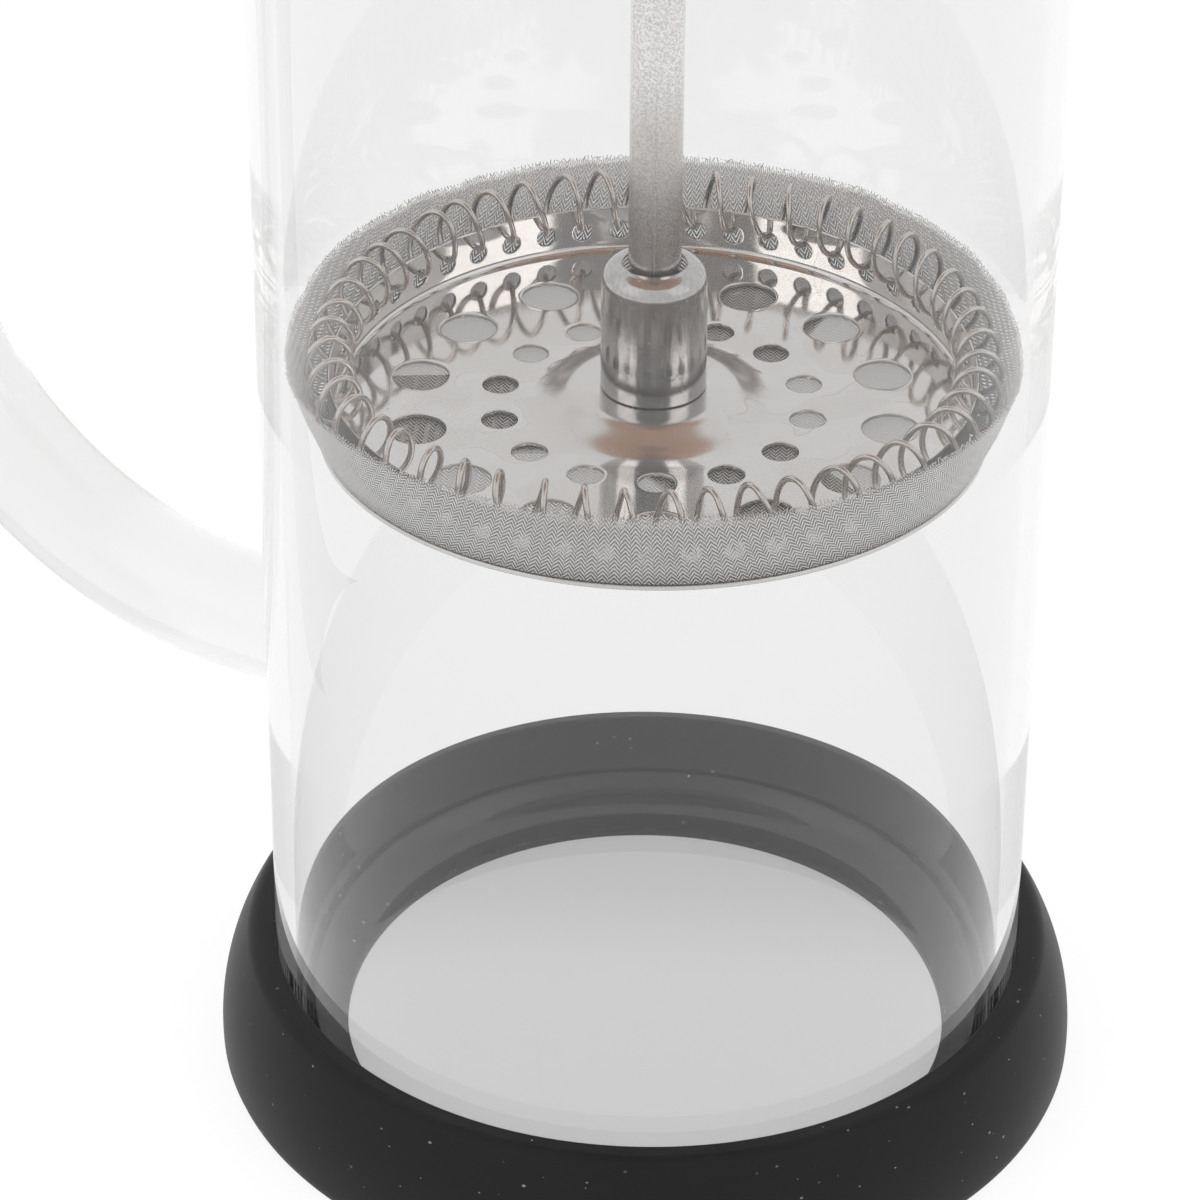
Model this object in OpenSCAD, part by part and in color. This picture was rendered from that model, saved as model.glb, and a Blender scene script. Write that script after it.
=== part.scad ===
// French press: glass carafe with a glass handle on a soft base ring, turned
// wooden lid and knob, steel plunger rod and a three layer filter.
// Millimetres. The origin is on the carafe's axis, on the surface it stands on.
// +Z is up, the handle points along -X and the spout along +X.

/* [Glass carafe] */
// Outer diameter of the glass cylinder
glass_d = 90; // [84:1:100]
// Thickness of the glass wall
glass_wall = 2.4; // [2:0.1:3]
// Thickness of the glass floor
glass_floor = 3; // [2:0.1:5]
// Height of the glass from its underside to the rim
glass_h = 170; // [160:1:190]
// Outer radius of the corner between wall and floor
glass_corner_r = 8; // [5:0.5:11]
// How far the spout stands out from the wall
spout_reach = 8; // [5:0.5:11]
// Radius of the spout at the rim
spout_r = 13; // [11:0.5:16]
// How far below the rim the spout starts
spout_drop = 30; // [20:1:40]

/* [Glass handle] */
// Diameter of the solid glass rod
handle_d = 15.2; // [12:0.1:17]
// Height of the lower root's centre above the glass's underside
handle_root_z = 39.5; // [30:0.5:45]
// Distance between the centres of the two roots
handle_span = 100; // [86:1:108]
// Straight length between the wall and the bend
handle_stub = 13; // [8:0.5:20]

/* [Base ring] */
// Height of the ring
base_h = 16; // [12:0.5:20]
// Radius of the arc that bulges the ring's outside
base_arc_r = 25; // [22:0.5:30]
// How far the widest point stands out from the glass
base_stand_out = 6.8; // [5.5:0.1:9]
// Height of the widest point
base_belly_z = 2.5; // [2:0.1:4]
// Thickness of the lip under the glass
base_lip_t = 2; // [1.5:0.1:3]
// Width of the lip that the glass stands on
base_lip_w = 8.5; // [8:0.1:12]
// Chamfer around the foot
base_chamfer = 1; // [0.5:0.1:1.5]

/* [Lid] */
// How far the lid stands out past the glass
lid_overhang = 3; // [1:0.5:5]
// Thickness of the upper disc
lid_t = 14; // [10:0.5:18]
// Rounding of the disc's upper edge
lid_edge_r = 4; // [2:0.5:5]
// Height of the plug under the disc
plug_h = 9; // [8:0.5:14]
// Gap between the plug and the glass
plug_gap = 2.6; // [2:0.1:3.5]
// Height of the seal's band in the plug's groove
seal_h = 5; // [4:0.2:6]
// Depth of the groove that holds the seal
seal_groove = 1.5; // [1:0.1:2.5]
// Thickness of each of the seal's two fins
fin_t = 0.9; // [0.6:0.1:1.2]
// Gap between the fins and the glass
seal_gap = 0.4; // [0.3:0.05:0.6]

/* [Lid bush] */
// Wall of the steel bush around the rod
bush_wall = 1.9; // [1.4:0.1:2.6]
// Radius of the flange under the plug
bush_flange_r = 8.5; // [7.5:0.1:11]
// Thickness of the flange
bush_flange_t = 1.2; // [0.8:0.1:2]
// Radius of the ring on top of the lid
bush_ring_r = 8; // [7.5:0.1:10]
// Thickness of the ring
bush_ring_t = 1.5; // [1:0.1:2.5]

/* [Plunger] */
// Diameter of the steel tube
rod_d = 6; // [5:0.1:7]
// Wall of the steel tube
rod_wall = 0.8; // [0.6:0.1:1]
// Length of the tube
rod_l = 162; // [156:1:184]
// Height of the filter's face above the foot, at rest
filter_z = 88.5; // [80:0.5:100]
// Radius of the stud that the knob screws on
stud_r = 1.92; // [1.5:0.02:2.1]
// Length of the stud above the tube
stud_l = 11; // [9:0.5:13]
// Length of stud and plug inside the tube
plug_in_tube = 12; // [8:0.5:20]

/* [Knob] */
// Radius of the ball knob
knob_r = 17; // [15:0.5:20]
// Radius of the flat under the knob
knob_flat_r = 9; // [8:0.5:10]
// Outer radius of the threaded insert
insert_r = 4; // [3.2:0.1:5]
// Length of the insert
insert_l = 12; // [10:0.5:14]
// Radius of the washer under the knob
washer_r = 7; // [6:0.1:8]
// Thickness of the washer
washer_t = 1.2; // [0.8:0.1:2]

/* [Hub] */
// Radius of the hub
hub_r = 6.05; // [5.6:0.05:6.8]
// Height of the hub
hub_h = 15.6; // [13:0.2:18]
// Radius of the mouth around the rod
hub_mouth_r = 3.65; // [3.55:0.05:4]
// Depth of the mouth
hub_mouth_depth = 2.4; // [1.5:0.1:3.5]
// Radius of the thread through the hub
thread_r = 2.5; // [2.3:0.05:2.6]
// How far the tube reaches into the mouth
rod_in_hub = 0.3; // [0.1:0.1:0.6]
// Length of the rod's thread in the hub
spigot_l = 7; // [5:0.5:8]

/* [Spiral plate] */
// Thickness of the polished sheet
sheet_t = 0.4; // [0.3:0.05:0.6]
// Gap between the wall and the foot of the mesh
wall_inset = 1.4; // [1.2:0.05:1.8]
// Height of the wall above the face
wall_h = 5.6; // [5:0.1:6.4]
// Bend radius where the face turns up into the wall
wall_bend_r = 1.2; // [0.8:0.1:1.4]
// Height of the raised centre
boss_h = 2.4; // [1.8:0.1:3]
// Radius of the flat on the raised centre
boss_r = 9.8; // [8.6:0.1:10.4]
// Radius where the raised centre meets the face
boss_foot_r = 13.6; // [12.4:0.1:14.4]
// Number of large and of small holes
hole_count = 14; // [10:1:15]
// Radius of the circle of large holes
large_ring_r = 27.4; // [26.6:0.1:28.2]
// Radius of a large hole
large_hole_r = 3.3; // [2.6:0.1:3.6]
// Radius of the circle of small holes
small_ring_r = 17.9; // [17.2:0.1:18.4]
// Radius of a small hole
small_hole_r = 2.05; // [1.6:0.05:2.4]
// How far the filter is turned about the rod
filter_turn = 17.7; // [0:0.1:25]

/* [Coil spring] */
// Number of turns, each through its own hole in the wall
coil_turns = 50; // [44:1:52]
// Radius of the wire
wire_r = 0.35; // [0.25:0.05:0.4]
// Half width of a turn, across the wall
turn_half_w = 2.7; // [2.2:0.05:2.8]
// Height of a turn
turn_h = 6.9; // [6.2:0.1:7.2]
// Height of the wire above the face where it passes the wall
pass_z = 3.2; // [3:0.05:3.3]
// Radius of each hole in the wall
pass_hole_r = 1.2; // [1:0.05:1.3]
// How far the wire lies above the centre of its hole
pass_lift = 0.7; // [0.5:0.05:0.75]

/* [Mesh] */
// Thickness of the woven sheet
mesh_t = 0.3; // [0.2:0.05:0.4]
// Gap between the mesh's upper edge and the glass
mesh_gap = 0.8; // [0.4:0.1:1.2]
// How far the wall of the mesh leans out
mesh_flare = 3.5; // [3:0.1:3.8]
// How far it has leaned out at its knee
mesh_knee_out = 2; // [1.9:0.1:2.4]
// Height of the knee above the face
mesh_knee_z = 4.6; // [4:0.1:5]
// Height of the mesh's upper edge above the face
mesh_h = 10.2; // [9.6:0.1:11.5]
// Bend where the sheet turns up
mesh_bend = 0.7; // [0.5:0.05:0.9]
// Width of the eyelet's flange
eyelet_w = 2.2; // [1.5:0.1:3]
// Thickness of the eyelet's metal
eyelet_t = 0.3; // [0.2:0.05:0.4]

/* [Cross plate] */
// Thickness of the plate
cross_t = 0.6; // [0.4:0.1:1]
// Number of spokes
spoke_count = 3; // [3:1:4]
// Width of a spoke
spoke_w = 17; // [12:0.5:18]
// Outer radius of the windows between the spokes
window_r = 33.5; // [30:0.5:34.5]
// Radius of the solid centre
cross_core_r = 11; // [9.5:0.5:13]
// How far the cross plate is turned about the rod
cross_turn = 89; // [0:1:119]
// Radius of the collar below the raised centre
collar_r = 5.2; // [4.6:0.1:5.6]
// Radius of the rivet through the plate
rivet_r = 3; // [2.6:0.1:3.6]
// Height of the rivet's head below the plate
rivet_head_h = 0.6; // [0.4:0.1:1]
// Length of the stud in the hub
stud_in_hub = 4.6; // [4.2:0.1:5.5]

/* [Fits] */
// Clearance around a shaft that slides or turns
running = 0.08; // [0.05:0.01:0.1]
// Gap between faces that part when a piece moves
seat_gap = 0.1; // [0.05:0.05:0.2]
// Gap around a piece that passes through a hole loosely
loose = 0.25; // [0.15:0.05:0.4]

/* [Hidden] */
$fn = 96;
// Overlap that carries a cut clear of the face it starts from
over = 1;
// Steps along one turn of the coil, and sides of its wire
turn_steps = 12;
wire_sides = 6;
// Steps along an arc in an outline made of points
arc_steps = 12;

// Colours
glass_colour = [0.92, 0.95, 0.95, 0.3];
rubber_colour = [0.1, 0.1, 0.1];
wood_colour = [0.72, 0.5, 0.28];
steel_colour = [0.75, 0.74, 0.72];
bright_colour = [0.85, 0.84, 0.82];
brass_colour = [0.78, 0.64, 0.35];
seal_colour = [0.88, 0.88, 0.86];

// Glass
glass_r = glass_d / 2;
glass_in_r = glass_r - glass_wall;
glass_z = base_lip_t;
rim_z = glass_z + glass_h;
spout_x = glass_r + spout_reach - spout_r;
spout_start_r = glass_r - glass_wall / 2 - spout_x;
spout_slope = (spout_r - spout_start_r) / spout_drop;
spout_wall = glass_wall * sqrt(1 + spout_slope * spout_slope);

// Handle
handle_r = handle_d / 2;
bend_r = handle_span / 2;
bend_x = -(glass_r + handle_stub);
bend_z = glass_z + handle_root_z + bend_r;

// Base ring
base_arc_x = glass_r + base_stand_out - base_arc_r;
base_open_r = glass_r - base_lip_w;
base_max_r = glass_r + base_stand_out;

// Lid
lid_z = rim_z + seat_gap;
lid_r = glass_r + lid_overhang;
lid_top_z = lid_z + lid_t;
plug_z = lid_z - plug_h;
plug_r = glass_in_r - plug_gap;
groove_r = plug_r - seal_groove;
seal_z = plug_z + (plug_h - seal_h) / 2;
seal_r = glass_in_r - seal_gap;
bush_bore_r = rod_d / 2 + running;
bush_r = bush_bore_r + bush_wall;

// Plunger, upwards from the filter's face
rod_r = rod_d / 2;
tube_in_r = rod_r - rod_wall;
boss_z = filter_z + boss_h;
hub_z = boss_z + seat_gap;
hub_top_z = hub_z + hub_h;
hub_round_r = hub_r - hub_mouth_r;
rod_z = hub_top_z - rod_in_hub;
rod_top_z = rod_z + rod_l;
washer_top_z = rod_top_z + washer_t;
knob_z = washer_top_z + seat_gap;
knob_centre_z = knob_z + sqrt(knob_r * knob_r - knob_flat_r * knob_flat_r);

// Filter
mesh_top_r = glass_in_r - mesh_gap;
mesh_foot_r = mesh_top_r - mesh_flare;
wall_r = mesh_foot_r - wall_inset;
sheet_under_z = filter_z - sheet_t;
mesh_under_z = sheet_under_z - mesh_t;
cross_top_z = mesh_under_z - seat_gap;
cross_z = cross_top_z - cross_t;
collar_top_z = boss_z - sheet_t - seat_gap;
plate_hole_r = thread_r - running + loose;
eyelet_in_r = collar_r + loose;
eyelet_r = eyelet_in_r + 2 * eyelet_t;
pass_hole_z = filter_z + pass_z - pass_lift;
turn_mid_z = filter_z + pass_z + turn_h / 2;

// A half outline of a vessel: straight wall, round corner, flat floor
module vessel_outline(radius, corner, height) {
    square([radius - corner, height]);
    translate([0, corner]) square([radius, height - corner]);
    translate([radius - corner, corner]) circle(r = corner);
}

// Points along an arc in an outline
function arc(x, z, radius, from, to) = [
    for (i = [0 : arc_steps])
        let (t = from + (to - from) * i / arc_steps)
        [x + radius * cos(t), z + radius * sin(t)]
];

// A ring of rectangular section
module ring(inner, outer, z, height) {
    translate([0, 0, z]) rotate_extrude()
        translate([inner, 0]) square([outer - inner, height]);
}

// Holes in a circle through the face of a plate
module hole_circle(count, ring_r, hole_r, z, depth) {
    for (i = [0 : count - 1])
        rotate([0, 0, i * 360 / count])
            translate([ring_r, 0, z]) cylinder(r = hole_r, h = depth);
}

module glass_wall_outline() {
    difference() {
        vessel_outline(glass_r, glass_corner_r, glass_h - glass_wall / 2);
        translate([0, glass_floor])
            vessel_outline(glass_in_r, glass_corner_r - glass_wall, glass_h);
    }
    translate([glass_r - glass_wall / 2, glass_h - glass_wall / 2])
        circle(r = glass_wall / 2);
}

// The cone that bulges the wall out into a spout, thinned all round by inset
module spout_cone(inset, extra) {
    translate([spout_x, 0, rim_z - spout_drop])
        cylinder(
            h = spout_drop + extra,
            r1 = spout_start_r - inset,
            r2 = spout_r - inset + extra * spout_slope
        );
}

module carafe() {
    color(glass_colour) difference() {
        union() {
            translate([0, 0, glass_z]) rotate_extrude() glass_wall_outline();
            difference() {
                spout_cone(0, 0);
                cylinder(r = glass_r - glass_wall / 2, h = rim_z + over);
            }
        }
        spout_cone(spout_wall, over);
    }
}

module carafe_handle() {
    color(glass_colour) difference() {
        union() {
            translate([bend_x, 0, bend_z]) rotate([90, 0, 0]) rotate([0, 0, 90])
                rotate_extrude(angle = 180) translate([bend_r, 0]) circle(r = handle_r);
            for (z = [bend_z - bend_r, bend_z + bend_r])
                translate([bend_x, 0, z]) rotate([0, 90, 0])
                    cylinder(r = handle_r, h = handle_stub + handle_r);
        }
        cylinder(r = glass_r, h = rim_z + over);
    }
}

// The ring's outside is one long arc, chamfered at the foot and rounded at the lip
function base_arc_point(z) =
    [base_arc_x + sqrt(base_arc_r * base_arc_r - pow(z - base_belly_z, 2)), z];

module base_ring() {
    lip_r = (base_arc_point(base_h)[0] - glass_r) / 2;
    bulge_h = base_h - lip_r - base_chamfer;
    color(rubber_colour) difference() {
        rotate_extrude() polygon(concat(
            [[base_open_r, 0], [base_arc_point(0)[0] - base_chamfer, 0]],
            [for (i = [0 : arc_steps]) base_arc_point(base_chamfer + i * bulge_h / arc_steps)],
            arc(glass_r + lip_r, base_h - lip_r, lip_r, 0, 90),
            [[base_open_r, base_h]]
        ));
        translate([0, 0, glass_z]) rotate_extrude()
            vessel_outline(glass_r, glass_corner_r, base_h);
    }
}

module lid_disc() {
    color(wood_colour) translate([0, 0, lid_z]) rotate_extrude() difference() {
        union() {
            square([lid_r, lid_t - lid_edge_r]);
            square([lid_r - lid_edge_r, lid_t]);
            translate([lid_r - lid_edge_r, lid_t - lid_edge_r]) circle(r = lid_edge_r);
        }
        square([bush_r, lid_t]);
    }
}

module lid_plug() {
    color(wood_colour) translate([0, 0, plug_z]) rotate_extrude() difference() {
        translate([bush_r, 0]) square([plug_r - bush_r, plug_h]);
        translate([groove_r, seal_z - plug_z]) square([seal_groove + over, seal_h]);
    }
}

module lid_seal() {
    color(seal_colour) translate([0, 0, seal_z]) rotate_extrude() {
        translate([groove_r, 0]) square([seal_groove, seal_h]);
        for (z = [0, seal_h - fin_t])
            translate([groove_r, z]) square([seal_r - groove_r, fin_t]);
    }
}

module lid_bush() {
    color(steel_colour) {
        ring(bush_bore_r, bush_r, plug_z, plug_h + lid_t + bush_ring_t);
        ring(bush_bore_r, bush_flange_r, plug_z - bush_flange_t, bush_flange_t);
    }
}

module bush_ring() {
    color(steel_colour) ring(bush_r, bush_ring_r, lid_top_z, bush_ring_t);
}

module plunger_rod() {
    color(steel_colour) ring(tube_in_r, rod_r, rod_z, rod_l);
}

module rod_top_stud() {
    color(steel_colour) {
        translate([0, 0, rod_top_z - plug_in_tube]) cylinder(r = tube_in_r, h = plug_in_tube);
        translate([0, 0, rod_top_z]) cylinder(r = stud_r, h = stud_l);
    }
}

module rod_end_plug() {
    color(steel_colour) {
        translate([0, 0, rod_z]) cylinder(r = tube_in_r, h = plug_in_tube);
        translate([0, 0, rod_z - spigot_l]) cylinder(r = min(thread_r, tube_in_r), h = spigot_l);
        translate([0, 0, rod_z - spigot_l])
            cylinder(r = thread_r, h = spigot_l - hub_mouth_depth + rod_in_hub);
    }
}

module hub_nut() {
    color(bright_colour) translate([0, 0, hub_z]) rotate_extrude() difference() {
        union() {
            square([hub_r, hub_h - hub_round_r]);
            square([hub_mouth_r, hub_h]);
            translate([hub_mouth_r, hub_h - hub_round_r]) circle(r = hub_round_r);
        }
        square([thread_r, hub_h]);
        translate([0, hub_h - hub_mouth_depth]) square([hub_mouth_r, hub_mouth_depth]);
    }
}

module knob_washer() {
    color(steel_colour) ring(stud_r, washer_r, rod_top_z, washer_t);
}

module knob() {
    color(wood_colour) difference() {
        intersection() {
            translate([0, 0, knob_centre_z]) sphere(r = knob_r);
            translate([0, 0, knob_z]) cylinder(r = knob_r + over, h = 2 * knob_r);
        }
        translate([0, 0, knob_z - over]) cylinder(r = insert_r, h = insert_l + over);
    }
}

module knob_insert() {
    color(brass_colour) ring(stud_r + running, insert_r, knob_z, insert_l);
}

// Half outline of the spiral plate: hole, raised centre, face, bend and wall
module spiral_outline() {
    half_t = sheet_t / 2;
    bend_x = wall_r - half_t - wall_bend_r;
    polygon(concat(
        [[plate_hole_r, boss_h], [boss_r, boss_h], [boss_foot_r, 0]],
        arc(bend_x, wall_bend_r, wall_bend_r, -90, 0),
        [[wall_r - half_t, wall_h], [wall_r + half_t, wall_h]],
        arc(bend_x, wall_bend_r, wall_bend_r + sheet_t, 0, -90),
        [[boss_foot_r - half_t, -sheet_t], [boss_r - half_t, boss_h - sheet_t]],
        [[plate_hole_r, boss_h - sheet_t]]
    ));
}

module spiral_plate() {
    color(bright_colour) rotate([0, 0, filter_turn]) difference() {
        translate([0, 0, filter_z]) rotate_extrude() spiral_outline();
        hole_circle(hole_count, large_ring_r, large_hole_r, sheet_under_z - over, 2 * over + sheet_t);
        hole_circle(hole_count, small_ring_r, small_hole_r, sheet_under_z - over, 2 * over + sheet_t);
        for (i = [0 : coil_turns - 1])
            rotate([0, 0, i * 360 / coil_turns])
                translate([wall_r - over, 0, pass_hole_z]) rotate([0, 90, 0])
                    cylinder(r = pass_hole_r, h = 2 * over);
    }
}

// Centre line of the coil: it winds once round its ring while it turns through
// every hole, rising inside the wall and coming down outside it
function coil_phase(a) = -90 - coil_turns * a;
function coil_point(a) =
    let (p = coil_phase(a), r = wall_r + turn_half_w * cos(p))
    [r * cos(a), r * sin(a), turn_mid_z + turn_h / 2 * sin(p)];
function unit(v) = v / norm(v);
function coil_ring(a, step) =
    let (
        along = unit(coil_point(a + step) - coil_point(a - step)),
        out = unit(coil_point(a) - [wall_r * cos(a), wall_r * sin(a), turn_mid_z]),
        side = unit(cross(along, out)),
        up = cross(side, along)
    )
    [for (s = [0 : wire_sides - 1])
        let (t = 360 * s / wire_sides)
        coil_point(a) + wire_r * (cos(t) * up + sin(t) * side)];

module coil_spring() {
    rings = coil_turns * turn_steps;
    step = 360 / rings;
    points = [for (i = [0 : rings - 1]) each coil_ring(i * step, step)];
    faces = [for (i = [0 : rings - 1], s = [0 : wire_sides - 1])
        let (a = i * wire_sides, b = (i + 1) % rings * wire_sides, u = (s + 1) % wire_sides)
        each [[a + s, b + s, b + u], [a + s, b + u, a + u]]];
    color(steel_colour) rotate([0, 0, filter_turn]) polyhedron(points = points, faces = faces);
}

module mesh_filter() {
    color(steel_colour) translate([0, 0, sheet_under_z]) rotate_extrude() polygon([
        [eyelet_r, -mesh_t],
        [mesh_foot_r - mesh_bend, -mesh_t],
        [mesh_foot_r, mesh_bend],
        [mesh_foot_r + mesh_knee_out, mesh_knee_z],
        [mesh_top_r, mesh_h + sheet_t],
        [mesh_top_r - mesh_t, mesh_h + sheet_t],
        [mesh_foot_r + mesh_knee_out - mesh_t, mesh_knee_z],
        [mesh_foot_r - mesh_t, mesh_bend],
        [mesh_foot_r - mesh_bend - mesh_t, 0],
        [eyelet_r, 0]
    ]);
}

module mesh_eyelet() {
    color(steel_colour) {
        ring(eyelet_in_r, eyelet_r, mesh_under_z, mesh_t);
        ring(eyelet_in_r, eyelet_r + eyelet_w, sheet_under_z, eyelet_t);
    }
}

module cross_plate() {
    edge_r = cross_t / 2;
    color(bright_colour) rotate([0, 0, cross_turn]) difference() {
        translate([0, 0, cross_z]) rotate_extrude() {
            square([mesh_foot_r - edge_r, cross_t]);
            translate([mesh_foot_r - edge_r, edge_r]) circle(r = edge_r);
        }
        translate([0, 0, cross_z - over]) cylinder(r = rivet_r, h = cross_t + 2 * over);
        translate([0, 0, cross_z - over]) linear_extrude(cross_t + 2 * over) difference() {
            circle(r = window_r);
            circle(r = cross_core_r);
            for (i = [0 : spoke_count - 1])
                rotate(i * 360 / spoke_count)
                    translate([0, -spoke_w / 2]) square([window_r + over, spoke_w]);
        }
    }
}

module cross_stud() {
    color(steel_colour) {
        translate([0, 0, cross_z - rivet_head_h]) cylinder(r = rivet_r + sheet_t, h = rivet_head_h);
        translate([0, 0, cross_z]) cylinder(r = rivet_r, h = cross_t);
        translate([0, 0, cross_top_z]) cylinder(r = collar_r, h = collar_top_z - cross_top_z);
        translate([0, 0, collar_top_z])
            cylinder(r = thread_r - running, h = hub_z + stud_in_hub - collar_top_z);
    }
}

carafe();
carafe_handle();
base_ring();
lid_disc();
lid_plug();
lid_seal();
lid_bush();
bush_ring();
plunger_rod();
rod_top_stud();
rod_end_plug();
hub_nut();
knob_washer();
knob();
knob_insert();
spiral_plate();
coil_spring();
mesh_filter();
mesh_eyelet();
cross_plate();
cross_stud();
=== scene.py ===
"""Looks of a french press: a glass carafe on a soft base ring, a turned wooden lid and knob,
and a steel plunger with a pierced dish, a coil spring and a woven mesh cup.
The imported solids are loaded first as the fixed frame, and every piece is made in their place."""
import functools
import math

import bmesh
import bpy
from mathutils import Matrix, Vector, noise


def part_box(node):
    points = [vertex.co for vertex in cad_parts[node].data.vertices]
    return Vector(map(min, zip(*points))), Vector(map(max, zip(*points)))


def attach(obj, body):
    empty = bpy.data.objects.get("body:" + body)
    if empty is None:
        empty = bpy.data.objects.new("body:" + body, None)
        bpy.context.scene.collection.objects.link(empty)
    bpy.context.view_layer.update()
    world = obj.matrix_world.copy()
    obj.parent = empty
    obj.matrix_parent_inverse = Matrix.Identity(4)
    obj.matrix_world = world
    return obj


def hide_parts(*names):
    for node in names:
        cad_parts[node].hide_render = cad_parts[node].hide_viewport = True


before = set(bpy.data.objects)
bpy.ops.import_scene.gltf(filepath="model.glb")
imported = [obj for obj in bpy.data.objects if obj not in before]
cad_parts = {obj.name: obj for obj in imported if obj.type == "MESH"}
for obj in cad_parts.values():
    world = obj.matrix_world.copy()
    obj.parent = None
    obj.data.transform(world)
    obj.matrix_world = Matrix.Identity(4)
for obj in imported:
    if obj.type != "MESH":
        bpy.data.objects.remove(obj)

bl_info = {
    "name": "French Press Looks",
    "version": (1, 0, 0),
    "blender": (4, 5, 0),
    "location": "View3D > Sidebar > French Press",
    "description": "Makes the glass, steel, wood and silicone pieces of a french press",
    "category": "Object",
}

MM = 0.001
TURN = 2 * math.pi
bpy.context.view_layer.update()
BOXES = {name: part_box(name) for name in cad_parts}


def top(node):
    """Height of the top of a CAD node."""
    return BOXES[node][1].z


def foot(node):
    """Height of the underside of a CAD node."""
    return BOXES[node][0].z


def reach(node):
    """Outer radius of a round CAD node, measured across the spout's and the handle's plane."""
    return BOXES[node][1].y


def extent(node):
    """Foot, top and outer radius of a round CAD node."""
    return foot(node), top(node), reach(node)


# ---------------------------------------------------------------- settings


def length(name, text, millimetres):
    """A size property. The number is in millimetres and the property is in metres."""
    return bpy.props.FloatProperty(
        name=name, description=text, default=millimetres * MM, min=0.0, max=400 * MM,
        precision=5, subtype="DISTANCE", unit="LENGTH",
    )


def number(name, text, default, low=0.0, high=10.0):
    """A plain number without a unit."""
    return bpy.props.FloatProperty(
        name=name, description=text, default=default, min=low, max=high, precision=3
    )


def turn(name, text, degrees):
    """An angle property. The number is in degrees and the property is in radians."""
    return bpy.props.FloatProperty(
        name=name, description=text, default=math.radians(degrees), subtype="ANGLE", unit="ROTATION"
    )


def count(name, text, default, low=1, high=1000):
    return bpy.props.IntProperty(name=name, description=text, default=default, min=low, max=high)


def colour(name, text, default):
    return bpy.props.FloatVectorProperty(
        name=name, description=text, default=default, size=3, min=0, max=1, subtype="COLOR"
    )


class GlassSettings(bpy.types.PropertyGroup):
    """Sizes and colour of the carafe, its spout and its handle."""
    wall: length("Wall", "Thickness of the glass wall", 2.4)
    floor: length("Floor", "Thickness of the glass floor", 3)
    corner: length("Corner", "Outer radius between the wall and the floor", 8)
    spout_drop: length("Spout drop", "How far below the rim the spout starts", 25)
    spout_half_angle: turn("Spout half angle", "Half of the rim's arc that the spout takes up", 26)
    handle_r: length("Handle radius", "Radius of the glass rod", 7.6)
    root_blend: length("Root blend", "How far the rod flares where it joins the wall", 1.4)
    columns: count("Columns", "Faces around the carafe", 288, 96, 512)
    tint: colour("Tint", "Colour of the wall's glass", (0.90, 0.903, 0.902))
    rod_tint: colour("Handle tint", "Colour of the handle's thicker glass", (0.83, 0.833, 0.832))


class RingSettings(bpy.types.PropertyGroup):
    """Sizes of the soft ring under the carafe."""
    bulge_r: length("Bulge", "Radius of the outer side's curve, seen in section", 25)
    bulge_z: length("Bulge height", "Height where the outer side is widest", 2.5)
    lip_r: length("Lip", "Radius where the outer side turns in to the glass", 2)
    overlap: length("Overlap", "How far the ring reaches in under the glass", 8.5)
    sole_in: length("Sole", "How far the sole's edge lies within the widest part", 1.09)
    dust_r: length("Dust radius", "Radius that the specks of dust are laid out on", 48)


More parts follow.
